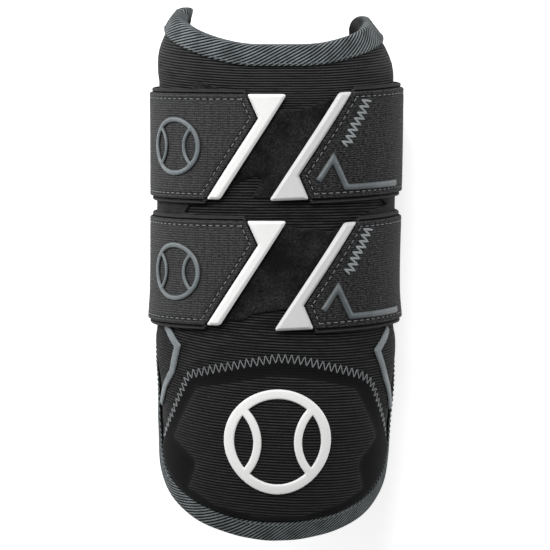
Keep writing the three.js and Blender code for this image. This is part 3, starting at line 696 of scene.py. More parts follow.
def rounded(corners, radius=0.0, steps=5):
    """A closed outline with rounded corners. Each corner is (girth, y) or (girth, y, radius)."""
    line = []
    for index, corner in enumerate(corners):
        here = np.array(corner[:2], float)
        before = np.array(corners[index - 1][:2], float) - here
        after = np.array(corners[(index + 1) % len(corners)][:2], float) - here
        wanted = corner[2] if len(corner) > 2 else radius
        room = min(wanted, np.linalg.norm(before) / 2.2, np.linalg.norm(after) / 2.2)
        if room == 0:
            line.append(here)
            continue
        enter = here + before / np.linalg.norm(before) * room
        leave = here + after / np.linalg.norm(after) * room
        for t in np.linspace(0, 1, steps):
            line.append((1 - t) ** 2 * enter + 2 * t * (1 - t) * here + t * t * leave)
    return np.array(line)


def divided(line, spacing):
    """The same closed outline with points no further apart than the spacing."""
    points = []
    for start, end in zip(line, np.roll(line, -1, axis=0)):
        pieces = max(1, math.ceil(np.linalg.norm(end - start) / spacing))
        points.extend(start + (end - start) * np.arange(pieces)[:, None] / pieces)
    return np.array(points)


def within(points, loops):
    """Whether each point lies in the outline and outside its holes."""
    x, y = np.asarray(points, float).reshape(-1, 2).T
    odd = np.zeros(len(x), bool)
    for loop in loops:
        for (x0, y0), (x1, y1) in zip(loop, np.roll(loop, -1, axis=0)):
            if y0 != y1:
                spans = (y0 > y) != (y1 > y)
                odd ^= spans & (x < (x1 - x0) * (y - y0) / (y1 - y0) + x0)
    return odd


def ring_inside(line, offset):
    """A line's points moved inwards. The outline runs anticlockwise."""
    runs = np.roll(line, -1, axis=0) - np.roll(line, 1, axis=0)
    runs /= np.maximum(np.linalg.norm(runs, axis=1, keepdims=True), 1e-9)
    return line + np.stack([-runs[:, 1], runs[:, 0]], 1) * offset


def anticlockwise(line):
    x, y = line.T
    area = (x * np.roll(y, -1) - y * np.roll(x, -1)).sum()
    return line if area > 0 else line[::-1]


def patch(loops, spacing, rings=(), lines=()):
    """Points and triangles that fill an outline with holes, and each point's distance to the edge."""
    outer = [anticlockwise(loops[0])]
    holes = [anticlockwise(loop)[::-1] for loop in loops[1:]]
    edges = [divided(loop, spacing) for loop in outer + holes]
    points = list(np.vstack(edges))
    joins = []
    start = 0
    for loop in edges:
        joins += [(start + index, start + (index + 1) % len(loop)) for index in range(len(loop))]
        start += len(loop)
    for offset in rings:
        moved = np.vstack([ring_inside(loop, offset) for loop in edges])
        clear = line_distance(moved, edges) > offset * 0.9
        points += list(moved[clear & within(moved, edges)])
    for line in lines:
        points += list(line[within(line, edges)])
    low, high = edges[0].min(0), edges[0].max(0)
    xs = np.arange(low[0] + spacing / 2, high[0], spacing)
    ys = np.arange(low[1] + spacing / 2, high[1], spacing)
    grid = np.stack(np.meshgrid(xs, ys), -1).reshape(-1, 2)
    reach = (max(rings) if rings else 0) + spacing * 0.6
    clear = line_distance(grid, edges) > reach
    for line in lines:
        clear &= line_distance(grid, [line]) > spacing * 0.5
    points += list(grid[clear & within(grid, edges)])
    made = delaunay_2d_cdt([Vector(point) for point in points], joins, [], 0, 1e-4)
    flat = np.array([tuple(point) for point in made[0]])
    triangles = np.array(made[2])
    centres = flat[triangles].mean(1)
    triangles = triangles[within(centres, edges)]
    used = np.unique(triangles)
    order = np.full(len(flat), -1)
    order[used] = np.arange(len(used))
    return flat[used], order[triangles], line_distance(flat[used], edges)


def patch_faces(triangles, count):
    """The same triangles above and below, and a wall along every open edge."""
    pairs = {}
    for a, b, c in triangles:
        for first, second in ((a, b), (b, c), (c, a)):
            pairs[(first, second)] = True
    walls = [(a, a + count, b + count, b) for a, b in pairs if (b, a) not in pairs]
    above = [tuple(triangle) for triangle in triangles]
    below = [(a + count, c + count, b + count) for a, b, c in triangles]
    return above + below + walls


def flat_area(flat, triangles):
    a, b, c = (flat[triangles[:, corner]] for corner in range(3))
    return float(np.abs(np.cross(b - a, c - a)).sum() / 2) * MM * MM


def patch_piece(name, loops, place, top, low, finish, slot, nodes, spacing=2.0, rings=(), lines=(),
                held=None):
    """A flat piece with its own top heights, laid on the body by a place function."""
    flat, triangles, distance = patch(loops, spacing, rings, lines)
    heights = top(flat, distance)
    above = place(flat[:, 0], flat[:, 1], heights)
    below = place(flat[:, 0], flat[:, 1], np.full(len(flat), low))
    faces = patch_faces(triangles, len(flat))
    made = make_piece(name, np.vstack([above, below]), faces, np.vstack([flat, flat]), finish, slot, nodes)
    if held:
        declare_sheet(made, flat, flat_area(flat, triangles))
    return made, flat, distance


def soft_edge(distance, radius, low, high):
    """A height that rolls over from low at the edge to high."""
    share = np.clip(distance / radius, 0, 1)
    return low + (high - low) * np.sqrt(np.clip(1 - (1 - share) ** 2, 0, 1))

# %% [markdown]
# ## The loop patch
# Under the straps lies a black fuzzy patch: the loop side of hook-and-loop. It has a window between the
# straps where the ribbed cloth shows. Brushed loops scatter light, so the finish is rough and mottled,
# with a soft sheen and no ribs at all.

# %% The loop patch
LOOP_OUTLINE = [
    (-88, -18), (-88, 81.5), (-41, 82), (-38.6, 87.9), (-27.8, 84.5), (2.2, 74.6), (8.8, 75), (17.6, 78),
    (26.8, 81.5), (40, 83.3), (88, 84), (88, -14), (30, -14), (3, -12.6), (-12, -14.5), (-16, -17.5),
]
LOOP_WINDOW = [
    (-44.2, 29.3), (-40.8, 33.8), (-11, 46.2), (-7.8, 44.9), (-11.9, 36.5), (20, 35.2),
    (50, 35.5), (55.5, 32.6), (41.5, 29.7), (22.9, 21.4), (1.7, 24),
]
loop_fuzz = Recipe("loop_fuzz", 0.95, 0.12, (0.5, 0.5, 0.52), 0.1)
tuft = loop_fuzz.noise(loop_fuzz.place(), 1.1, 5.0, 0.75)
brushed = loop_fuzz.noise(loop_fuzz.place(), 0.06, 5.0, 0.65)
tufts = loop_fuzz.math("MULTIPLY", loop_fuzz.remap(tuft, 0.35, 0.75, 0.0, 1.0),
                       loop_fuzz.remap(brushed, 0.38, 0.66, 0.25, 1.2), clamp=True)
loop_fuzz.colour(loop_fuzz.blend(tufts, (0.0008, 0.0008, 0.0008), (0.052, 0.052, 0.053)))
loop_fuzz.relief(tuft, 0.5)


def loop_top(flat, distance):
    return soft_edge(distance, 0.9, CLEARANCE + 0.3, CLEARANCE + LOOP_THICK)


patch_piece("loop_cloth", [rounded(LOOP_OUTLINE, 1.5), rounded(LOOP_WINDOW, 0.8)], on_skin, loop_top,
            CLEARANCE, loop_fuzz.material, "loop_fabric", ["loop_panel"], 1.9, (0.25, 0.8),
            held="laid")

# %% [markdown]
# ## The elbow cap
# The cap is a padded panel sewn over the elbow. Its middle is a raised field of ribbed cloth with bevelled
# sides, and round it the cloth is pressed flat and smooth. The height over the skin says all of this: it
# climbs the bevel by the distance into the field, then swells a little like foam.

# %% The cap
CAP_SEAM = [
    (-61, -72), (-51.6, -59.1), (-41.8, -42.2), (-29.5, -39.2), (-13, -36), (-1.3, -34),
    (8.2, -34.7), (23.1, -38.4), (37.5, -42.1), (44, -46.5), (48.3, -54.6), (60, -72),
]
CAP_FIELD_CORNERS = [
    (-37.8, -45.8), (-23.6, -43.7), (-1.3, -39.8), (21.6, -42.9), (34.6, -46.5), (48.8, -70.5),
    (38.2, -81.4), (43.7, -93.6), (30, -101), (12, -105.8), (-12, -105.8), (-32, -101),
    (-46, -92.7), (-39.4, -80.8), (-51.7, -70.4),
]
BEVEL = 2.6
FOOT_BELOW, FOOT_CENTRE, FOOT_ROUNDNESS = -78, -66, 0.82
CAP_MARK_SIZE, CAP_MARK_GIRTH, CAP_MARK_AT = 46.0, -1.0, -70.5


def cap_foot():
    """The cap's lower edge, a fixed way inside the tape, drawn in towards the middle of the cup."""
    low = edge_line[edge_line[:, 1] < FOOT_BELOW]
    low = low[np.argsort(-low[:, 0])][::6]
    beside = TAPE_LEG + CLEARANCE + CLEARANCE
    share = 1 - beside / np.hypot(low[:, 0] * FOOT_ROUNDNESS, low[:, 1] - FOOT_CENTRE)
    return [(girth * part, FOOT_CENTRE + (y - FOOT_CENTRE) * part) for (girth, y), part in zip(low, share)]


cap_outline = rounded(CAP_SEAM + cap_foot())
field_outline = anticlockwise(rounded(CAP_FIELD_CORNERS, 2.5))
field_line = divided(field_outline, 1.6)
bevel_line = ring_inside(field_line, BEVEL)

# %% [markdown]
# ## How the padding fills the cloth
# Foam presses the cloth outwards, while tape, straps, seams and the mark hold it down. The swell between
# them could be drawn by hand, but cloth finds it better by itself. One sheet over the whole front is
# simulated under pressure and held where those pieces hold it. Its movement is read off, levelled off, and
# given to the shell, the cap and the side stripes alike, so that the layers stay apart. A cushion's usual
# pressure of 4 moved this sheet by only 0.02 mm, so the number was raised until half of the free cloth
# swelled by 0.4 mm or more.

# %% The simulated swell
SWELL_STEP, SWELL_LIMIT, SWELL_FRAMES, SWELL_PRESSURE = 3.0, 0.8, 20, 4000.0
HELD_BY_TAPE, HELD_BELOW_STRAPS, HELD_ABOVE_STRAPS = TAPE_LEG + 3, 2.5, 3
HELD_BY_SEAM, HELD_BY_BEVEL, HELD_BY_MARK, HELD_BY_CREASE = 3.5, BEVEL + 1, 26, 1.8
CREASES = [[(-39.3, -27.8), (-47.4, -39.1)], [(39.3, -28.1), (42.8, -36.8)]]
swell_girth = np.arange(-99, 99.1, SWELL_STEP)
swell_y = np.arange(-114, 117.1, SWELL_STEP)


def held_down(flat):
    """Where the tape, the straps, a seam, a crease or the mark holds the cloth."""
    girth, y = flat.T
    held = ~within(flat, [coarse_edge]) | (line_distance(flat, [coarse_edge]) < HELD_BY_TAPE)
    lowest = LOWER_AT - STRAP_WIDTH / 2 - HELD_BELOW_STRAPS
    highest = UPPER_AT + STRAP_WIDTH / 2 + HELD_ABOVE_STRAPS
    held |= (y > lowest) & (y < highest)
    cap_line = divided(cap_outline, 3.0)
    beside_cap = within(flat, [cap_line]) | (line_distance(flat, [cap_line]) < HELD_BY_SEAM)
    swelling = within(flat, [field_line]) & (line_distance(flat, [field_line]) > HELD_BY_BEVEL)
    under_mark = np.hypot(girth - CAP_MARK_GIRTH, y - CAP_MARK_AT) < HELD_BY_MARK
    held |= beside_cap & (under_mark | ~swelling)
    return held | (line_distance(flat, CREASES) < HELD_BY_CREASE)


def simulated_swell():
    """How far each point of the sheet moves outwards, in millimetres."""
    girth, y = np.meshgrid(swell_girth, swell_y)
    start = on_skin(girth, y, 0).reshape(-1, 3) * MM
    outward = on_skin(girth, y, 1).reshape(-1, 3) * MM - start
    index = np.arange(girth.size).reshape(girth.shape)
    quads = np.stack([index[:-1, :-1], index[:-1, 1:], index[1:, 1:], index[1:, :-1]], -1).reshape(-1, 4)
    mesh = bpy.data.meshes.new("swell_sheet")
    mesh.from_pydata(start.tolist(), [], quads.tolist())
    sheet = bpy.data.objects.new("swell_sheet", mesh)
    bpy.context.scene.collection.objects.link(sheet)
    held = held_down(np.stack([girth.ravel(), y.ravel()], 1))
    group = sheet.vertex_groups.new(name="held")
    group.add([int(point) for point in np.flatnonzero(held)], 1.0, "REPLACE")
    cloth = sheet.modifiers.new("swell", "CLOTH")
    cloth.settings.quality = 6
    cloth.settings.use_pressure = True
    cloth.settings.uniform_pressure_force = SWELL_PRESSURE
    cloth.settings.vertex_group_mass = "held"
    cloth.settings.effector_weights.gravity = 0
    cloth.collision_settings.use_collision = False
    cloth.point_cache.frame_start = 1
    cloth.point_cache.frame_end = SWELL_FRAMES
    for frame in range(1, SWELL_FRAMES + 1):
        bpy.context.scene.frame_set(frame)
    ready = sheet.evaluated_get(bpy.context.evaluated_depsgraph_get())
    moved = np.empty(len(mesh.vertices) * 3)
    ready.data.vertices.foreach_get("co", moved)
    out = ((moved.reshape(-1, 3) - start) * outward).sum(1) / (outward ** 2).sum(1)
    bpy.data.objects.remove(sheet)
    bpy.data.meshes.remove(mesh)
    bpy.context.scene.frame_set(1)
    print("free points:", int((~held).sum()), "farthest move in mm:", round(float(np.abs(out).max()), 2))
    return (SWELL_LIMIT * np.tanh(out / SWELL_LIMIT)).reshape(girth.shape)


swell = simulated_swell()


def swell_at(girth, y):
    """The swell between the sheet's points."""
    girth, y = np.broadcast_arrays(np.asarray(girth, float), np.asarray(y, float))
    column = np.clip((girth - swell_girth[0]) / SWELL_STEP, 0, len(swell_girth) - 1.001)
    row = np.clip((y - swell_y[0]) / SWELL_STEP, 0, len(swell_y) - 1.001)
    left, low = column.astype(int), row.astype(int)
    across, up = column - left, row - low
    below = swell[low, left] * (1 - across) + swell[low, left + 1] * across
    above = swell[low + 1, left] * (1 - across) + swell[low + 1, left + 1] * across
    return below * (1 - up) + above * up


def on_shell(girth, y, height):
    return on_skin(girth, y, height + swell_at(girth, y))


print("swell kept, in mm:", round(float(swell.min()), 2), "to", round(float(swell.max()), 2))

# %% The shell, dressed


def shell_top(girth, y, near):
    return -PAD_EDGE_SINK * near + swell_at(girth, y)


def shell_under(girth, y, near):
    return -PAD_THICK + (PAD_THICK - PAD_EDGE_SINK - PAD_EDGE_THICK) * near


shell = grid_piece("shell_cloth", across_grid, up_grid, shell_top, shell_under,
                   ribbed_cloth, "ribbed_fabric", "pad_shell")

# %% The cap, dressed


def cap_top(flat, distance):
    into = np.where(within(flat, [field_line]), line_distance(flat, [field_line]), 0)
    climb = ease(-0.2 * BEVEL, BEVEL, into) * (CAP_FIELD - 0.25)
    climb = np.where(into > 0, climb, 0)
    lifted = 0.6 * ease(0, 26, into) - 0.25
    base = soft_edge(distance, 1.4, CLEARANCE + 0.4, CLEARANCE + CAP_BASE)
    return base + climb + lifted * ease(0, BEVEL, into) + swell_at(flat[:, 0], flat[:, 1])


def cap_finish():
    """Ribs on the raised field. Round it the cloth is flattened smooth and painted much darker, as painted
    shade in the hollows.
    """
    finish = Recipe("cap_cloth", *CORDED_SURFACE)
    cloth = finish.cloth()
    field = finish.value("field")
    wander = finish.noise(finish.place(), 0.04, 2.0)
    rib = finish.wave(rib_run(finish, cloth), RIB_PITCH, finish.math("MULTIPLY", wander, 1.5))
    fuzz = finish.noise(finish.place(), 1.6, 4.0, 0.7)
    ribbed = finish.remap(field, 0.55, 0.85, 0.0, 1.0)
    crest = finish.math("MULTIPLY", finish.math("POWER", rib, 1.3), 0.85)
    # Painted shade: the hollows keep only a tenth of the ribs' tone, so they are painted much darker than the
    # field.
    hollow = finish.math("MULTIPLY_ADD", crest, 0.1, 0.02)
    shown = finish.blend(ribbed, hollow, crest)
    streak = finish.noise(finish.stretched(0.1, 1.1), 1.0, 4.0, 0.65)
    fuzzy = finish.remap(fuzz, 0.3, 0.7, 0.5, 1.25)
    broken = finish.math("MULTIPLY", finish.remap(streak, 0.3, 0.7, 0.6, 1.2), fuzzy)
    tone = finish.math("ADD", finish.math("MULTIPLY", shown, broken), speckle(finish, 0.3), clamp=True)
    finish.colour(finish.blend(tone, BLACK, RIB_TOP))
    finish.relief(finish.math("MULTIPLY_ADD", fuzz, 0.1, finish.math("MULTIPLY", rib, ribbed)), RIB_DEPTH)
    return finish.material


cap, cap_flat, _ = patch_piece(
    "cap_cloth", [cap_outline], on_skin, cap_top, CLEARANCE, cap_finish(), "cap_fabric", ["elbow_cap"],
    1.6, (0.35, 1.4), [field_line, bevel_line, ring_inside(field_line, BEVEL / 2)])
in_field = np.where(within(cap_flat, [field_line]), ease(0, BEVEL, line_distance(cap_flat, [field_line])), 0)
keep_values(cap, "field", np.tile(in_field, 2))

# %% [markdown]
# ## Moulded marks
# The marks are moulded rubber, welded to the cloth. A plain ball, as a ring with two seam arcs, is the
# generic mark of the game. The cap's mark and the stripes have a soft shoulder, so that their edges catch
# the light. The grey marks on the straps have two facets that meet in a ridge, and a shadow line painted
# dark round their foot.

# %% A plain ball


def ball_loops(size):
    """The ring's outline, and the three openings between the ring and its two seam arcs."""
    radius = size / 2
    width = size * 0.095
    turn = np.linspace(0, 2 * math.pi, 97)[:-1]
    outline = np.stack([np.cos(turn), np.sin(turn)], 1) * radius
    inside = radius - width
    centre, bow, half = radius * 1.2, radius * 0.82, width * 0.4
    lenses = []
    for side in (-1, 1):
        arc = (centre ** 2 + inside ** 2 - (bow - half) ** 2) / (2 * centre)
        span = math.acos(arc / inside)
        outer = [(inside * math.cos(a) * side, inside * math.sin(a)) for a in np.linspace(-span, span, 25)]
        tip = math.atan2(inside * math.sin(span), centre - arc)
        inner = [((centre - (bow - half) * math.cos(a)) * side, (bow - half) * math.sin(a))
                 for a in np.linspace(tip, -tip, 25)[1:-1]]
        lenses.append(np.array(outer + inner))
    arc = (centre ** 2 + inside ** 2 - (bow + half) ** 2) / (2 * centre)
    span = math.acos(arc / inside)
    tip = math.atan2(inside * math.sin(span), centre - arc)
    right_bow = [(centre - (bow + half) * math.cos(a), (bow + half) * math.sin(a))
                 for a in np.linspace(-tip, tip, 25)]
    top = [(inside * math.cos(a), inside * math.sin(a)) for a in np.linspace(span, math.pi - span, 25)[1:-1]]
    middle = right_bow + top + [(-x, -y) for x, y in right_bow] + [(-x, -y) for x, y in top]
    return [outline, np.array(middle), *lenses]


print("loops in a ball:", len(ball_loops(CAP_MARK_SIZE)))

# %% Rubber


def rubber(name, colour, dirt, roughness, grain=0.05):
    finish = Recipe(name, roughness, 0.0, (1, 1, 1), 0.45)
    cloudy = finish.noise(finish.place(), 0.12, 3.0)
    pores = finish.noise(finish.place(), 3.0, 3.0, 0.6)
    grainy = finish.remap(pores, 0.35, 0.65, -0.2, 0.75)
    dirty = finish.math("ADD", grainy, finish.remap(cloudy, 0.35, 0.7, -0.1, 0.3), clamp=True)
    worn = finish.blend(dirty, colour, dirt)
    # The foot value paints a mark's edge near black: a painted shadow line where it meets the cloth.
    finish.colour(finish.blend(finish.value("foot"), worn, (0.004, 0.005, 0.005)))
    finish.rough(finish.remap(cloudy, 0.3, 0.7, roughness - 0.06, roughness + 0.08))
    finish.relief(pores, grain)
    return finish.material


white_rubber = rubber("white_rubber", (0.865, 0.865, 0.86), (0.775, 0.775, 0.765), 0.42)
# Painted shade: the right-hand ends are the same white rubber as the left ones, painted darker as if in
# shade.
shaded_white_rubber = rubber("shaded_white_rubber", (0.645, 0.647, 0.647), (0.565, 0.57, 0.565), 0.42)
grey_rubber = rubber("grey_rubber", (0.165, 0.19, 0.2), (0.08, 0.095, 0.1), 0.42, 0.1)
line_rubber = rubber("line_rubber", (0.118, 0.138, 0.146), (0.045, 0.055, 0.059), 0.42, 0.1)
grey_film = rubber("grey_film", (0.19, 0.215, 0.225), (0.08, 0.095, 0.1), 0.5, 0.12)

# %% The cap's mark


def on_cap(girth, rise, height):
    return on_skin(girth + CAP_MARK_GIRTH, rise + CAP_MARK_AT, height)


def mark_top(lift, thick=MARK_THICK, radius=0.8):
    return lambda flat, distance: soft_edge(distance, radius, lift + thick * 0.35, lift + thick)


def ridge_top(lift, half):
    """Two facets that meet in a ridge along the middle of the mark."""
    return lambda flat, distance: lift + MARK_THICK * (0.2 + 0.8 * np.clip(distance / half, 0, 1))


def paint_foot_shadow(piece, distance):
    """Paints the outermost half millimetre of a mark near black: a painted shadow line round its foot."""
    keep_values(piece, "foot", np.tile(1 - ease(0.1, 0.55, distance), 2))


patch_piece("cap_roundel", ball_loops(CAP_MARK_SIZE), on_cap, mark_top(CAP_MARK_LIFT), CAP_MARK_LIFT,
            white_rubber, "white_rubber", ["cap_emblem"], 1.0, (0.15, 0.4, 0.8))

# %% [markdown]
# ## The side stripes
# A bent grey stripe runs down each side of the cap. It is a thin film welded to the cloth, so it is laid on
# the swollen shell, and its own relief is only a fine grain.

# %% The side stripes
STRIPE_WIDTH = 3.4
LEFT_STRIPE = [(-57, -21.2), (-47.8, -29.8), (-52.2, -41.4), (-58.7, -48.2), (-64, -57)]
RIGHT_STRIPE = [(57, -22.6), (47, -32), (53.8, -44.4), (58.3, -50.6), (63.5, -59)]


def stripe_outline(path, width, radius=0.6):
    """The outline of a line of one width along corners."""
    path = np.array(path, float)
    left, right = [], []
    for index, here in enumerate(path):
        enter = here - path[max(index - 1, 0)]
        leave = path[min(index + 1, len(path) - 1)] - here
        enter = enter if index else leave
        leave = leave if index < len(path) - 1 else enter
        enter = enter / np.linalg.norm(enter)
        middle = enter + leave / np.linalg.norm(leave)
        middle /= np.linalg.norm(middle)
        reach = width / 2 / max(0.35, middle @ enter)
        left.append(here + (-middle[1] * reach, middle[0] * reach))
        right.append(here + (middle[1] * reach, -middle[0] * reach))
    return rounded([tuple(point) for point in left + right[::-1]], radius)


for side, path in (("left", LEFT_STRIPE), ("right", RIGHT_STRIPE)):
    patch_piece(side + "_side_film", [stripe_outline(path, STRIPE_WIDTH)], on_shell,
                mark_top(CLEARANCE, STRIPE_THICK, 0.7), CLEARANCE, grey_film, "grey_film",
                ["side_stripe_" + side], 1.2, (0.2, 0.7))

# %% [markdown]
# ## The straps
# Each strap is one elastic band that goes round the back. It follows the body, and under the guard it lies
# flat on the table. Both of its ends carry a stiff panel and a moulded end. The right side was pulled
# round by hand, so it climbs a little and leans.

# %% Laying a strap
FLOOR_SOFT = 4.0
PANEL_REACH = 90.0


def on_strap(girth, y, height):
    """A point above the body, or flat on the table where the body's back would reach lower."""
    point = on_skin(girth, y, height)
    floor = BAND_LIFT + BAND_THICK - np.broadcast_to(height, point.shape[:-1])
    above = point[..., 2] - floor
    eased = floor + (above + FLOOR_SOFT) ** 2 / (4 * FLOOR_SOFT)
    point[..., 2] = np.where(above < -FLOOR_SOFT, floor, np.where(above < FLOOR_SOFT, eased, point[..., 2]))
    return point


def strap_places(at, climb, shift, tilt=0.04, slant=0.04):
    def left(girth, rise, height):
        return on_strap(girth, at + rise, height)

    def right(girth, rise, height):
        fade = 1 - ease(PANEL_REACH, HALF_GIRTH, girth)
        lift = climb + tilt * (np.minimum(girth, 60) - 15)
        return on_strap(girth + (shift + slant * rise) * fade, at + rise + lift * fade, height)

    def band(girth, rise, height):
        wrapped = girth < -HALF_GIRTH
        on_right = right(np.where(wrapped, girth + 2 * HALF_GIRTH, girth), rise, height)
        return np.where(wrapped[:, None], on_right, left(girth, rise, height))

    return {"left": left, "right": right, "band": band}

# %% The outlines of a strap's pieces
TAB_GAP, TAB_SLANT = 22.4, 0.615
TRIM_MARGIN, TRIM_NARROW, TRIM_WIDE, TRIM_NOTCH, TRIM_CORNER = 2.1, 5.8, 17.0, 0.77, 2.0
PANEL_MARGIN, TRIM_GAP, BAND_INSET = 2.1, 0.8, 0.9
trim_half = STRAP_WIDTH / 2 - TRIM_MARGIN
panel_half = STRAP_WIDTH / 2 - PANEL_MARGIN
notch_rise = trim_half * (2 * TRIM_NOTCH - 1)


def leading_at(rise):
    return -TAB_GAP / 2 + TAB_SLANT * rise


notch_girth = leading_at(notch_rise) - TRIM_NARROW
wide_girth = leading_at(trim_half) - TRIM_WIDE
back_slope = (wide_girth - notch_girth) / (trim_half - notch_rise)
TRIM_OUTLINE = [
    (leading_at(-trim_half), -trim_half, 1.4),
    (leading_at(trim_half), trim_half, TRIM_CORNER),
    (wide_girth, trim_half, 1.2),
    (notch_girth, notch_rise, 0),
    (leading_at(-trim_half) - TRIM_NARROW, -trim_half, 1.2),
]
PANEL_OUTLINE = [
    (-PANEL_REACH, -panel_half, 0.8),
    (leading_at(-panel_half) - TRIM_NARROW - TRIM_GAP, -panel_half, 0.8),
    (notch_girth - TRIM_GAP, notch_rise, 0),
    (notch_girth - TRIM_GAP + back_slope * (panel_half - notch_rise), panel_half, 0.8),
    (-PANEL_REACH, panel_half, 0.8),
]


def half_turned(corners):
    return [(-corner[0], -corner[1], *corner[2:]) for corner in corners]


def band_outline():
    half = STRAP_WIDTH / 2
    under = trim_half - BAND_INSET
    end = [
        (leading_at(-half) - TRIM_NARROW, -half, 0.8),
        (leading_at(-under) - TRIM_NARROW, -under, 0),
        (leading_at(-under) - BAND_INSET, -under, 0.8),
        (leading_at(under) - BAND_INSET, under, 0.8),
        (wide_girth, under, 0),
        (notch_girth + back_slope * (half - notch_rise), half, 0.8),
    ]
    return end + [(corner[0] - 2 * HALF_GIRTH, *corner[1:]) for corner in half_turned(end)]


print("trim corners:", len(TRIM_OUTLINE), "panel corners:", len(PANEL_OUTLINE))

# %% [markdown]
# ## The straps' finishes
# The band is ribbed elastic: its ribs run along the strap. The left panel is a plain ballistic weave in
# charcoal, with over and under yarns of uneven tone. The right panel is a finer, darker and more uneven
# weave, so the same recipe makes both.

# %% Elastic and weave
band_elastic = corded("band_elastic", 1.25, (0.001, 0.001, 0.0011), (0.045, 0.045, 0.046), 0.2, painted_rim_shading=True)


def plain_weave(name, pitch, low, high, depth, uneven=0.35):
    """Yarns over and under each other, each yarn with its own tone and slubs."""
    finish = Recipe(name, 0.8, 0.02, (0.75, 0.76, 0.8), 0.15)
    cloth = finish.cloth()
    wander = finish.noise(finish.place(), 0.08, 2.0)
    down = finish.wave(cloth[1], pitch, finish.math("MULTIPLY", wander, 2.0))
    across = finish.wave(cloth[0], pitch * 0.93, finish.math("MULTIPLY", wander, 3.0))
    floats = finish.noise(finish.stretched(0.8, 1.7), 1.0, 2.0, 0.6)
    warp = finish.noise(finish.stretched(0.9, 0.05), 1.0, 3.0, 0.6)
    fuzz = finish.noise(finish.place(), 1.8, 4.0, 0.7)
    columns = finish.remap(across, 0, 1, 0.72, 1.0)
    grid = finish.math("MULTIPLY", finish.remap(down, 0, 1, 0.35, 1.0), columns)
    tone = finish.math("MULTIPLY", grid, finish.remap(floats, 0.32, 0.68, uneven, 1.2))
    tone = finish.math("MULTIPLY", tone, finish.remap(warp, 0.3, 0.7, 0.75, 1.25))
    tone = finish.math("MULTIPLY", tone, finish.remap(fuzz, 0.32, 0.68, 0.55, 1.4))
    # Painted shade: the weave is painted darker along the line of stitches, where the groove is.
    tone = finish.math("MULTIPLY", tone, finish.remap(finish.value("stitch_groove_shade"), 0, 1, 1.0, 0.25))
    finish.colour(finish.blend(finish.math("ADD", tone, speckle(finish, 0.4), clamp=True), low, high))
    finish.relief(finish.math("MULTIPLY_ADD", fuzz, 0.3, grid), depth)
    return finish.material


tab_weave = plain_weave("tab_weave", 1.05, (0.0006, 0.0006, 0.0007), (0.085, 0.085, 0.0875), 0.3)
tab_elastic = plain_weave("tab_elastic", 0.98, (0.0005, 0.0005, 0.0006), (0.078, 0.078, 0.08), 0.3,
                          uneven=-0.1)
print("finishes:", len(bpy.data.materials))

# %% [markdown]
# ## Thread
# A stitch is a short length of thick thread that comes up through a hole, lies on the cloth and goes down
# again. A zigzag is one long thread. Both are a round tube swept along points, so one helper makes them.
# The rubber's recipe makes the thread's finishes too, in their own greys and with a rougher surface.

# %% A thread
thread_grey = rubber("grey_thread", (0.2, 0.21, 0.215), (0.14, 0.15, 0.155), 0.7, 0.1)
thread_light = rubber("light_thread", (0.3, 0.325, 0.335), (0.2, 0.215, 0.22), 0.7, 0.1)
thread_dark = rubber("slate_thread", (0.17, 0.185, 0.195), (0.1, 0.11, 0.118), 0.7, 0.1)


def tubes(runs, radius, sides=6):
    """Round tubes along several lines of points, each closed at its ends."""
    points, faces, flat = [], [], []
    for run in runs:
        run = np.asarray(run, float)
        along = np.gradient(run, axis=0)
        along /= np.maximum(np.linalg.norm(along, axis=1, keepdims=True), 1e-9)
        out = run - (0, 0, WIDEST_HEIGHT)
        out[:, 1] = 0
        across = np.cross(along, out)
        across /= np.maximum(np.linalg.norm(across, axis=1, keepdims=True), 1e-9)
        out = np.cross(across, along)
        turn = np.arange(sides) * 2 * math.pi / sides
        ends = np.ones(len(run))
        ends[[0, -1]] = 0.45
        sideways = np.cos(turn)[None, :, None] * across[:, None, :]
        ring = sideways + np.sin(turn)[None, :, None] * out[:, None, :]
        start = len(points)
        points.extend((run[:, None, :] + ring * radius * ends[:, None, None]).reshape(-1, 3))
        way = np.concatenate([[0], np.cumsum(np.linalg.norm(np.diff(run, axis=0), axis=1))])
        flat.extend((distance, turn_share) for distance in way for turn_share in turn)
        for station in range(len(run) - 1):
            low, high = start + station * sides, start + (station + 1) * sides
            for side in range(sides):
                after = (side + 1) % sides
                faces.append((low + side, low + after, high + after, high + side))
        faces.append(tuple(start + side for side in reversed(range(sides))))
        faces.append(tuple(start + (len(run) - 1) * sides + side for side in range(sides)))
    return np.array(points), faces, np.array(flat)


def thread_piece(name, runs, radius, finish, slot, sides=6):
    points, faces, flat = tubes(runs, radius, sides)
    return make_piece(name, points, faces, flat, finish, slot)


def stitches(line, length, gap, place, height, rise=0.22, points=5, closed=True):
    """Stitches along a flat line: each comes up, lies flat and goes down."""
    line = evenly(line, 0.2, closed)
    stride = int(round((length + gap) / 0.2))
    size = int(round(length / 0.2))
    runs = []
    for start in range(0, len(line) - size, stride):
        spots = line[np.linspace(start, start + size, points).astype(int)]
        bow = np.sin(np.linspace(0, math.pi, points)) ** 0.5 * rise
        runs.append(place(spots[:, 0], spots[:, 1], height + bow - rise * 0.55))
    return runs

# %% [markdown]
# ## The straps, dressed
# The panel's edge is turned under, so it rolls over, and a line of light stitches holds it down 2.3 mm in:
# the cloth dips along that line, and its colour is painted darker there as painted shade. The same recipe
# makes the upper and the lower strap.

# %% One strap
STITCH_IN = 2.3
TRIM_BEVEL = 1.2
STRAP_MARK_SIZE, STRAP_MARK_AT = 26.0, -46.5
BENT_LINE = [(17.4, -15.4), (23.4, -5.4), (29.6, -18.4), (58.6, -18.5)]
BENT_WIDTH = 2.9
TACKS = {"upper": ((38.4, 19.4), (28.4, -0.6)), "lower": ((37.1, 19.8), (27.5, 0.2))}


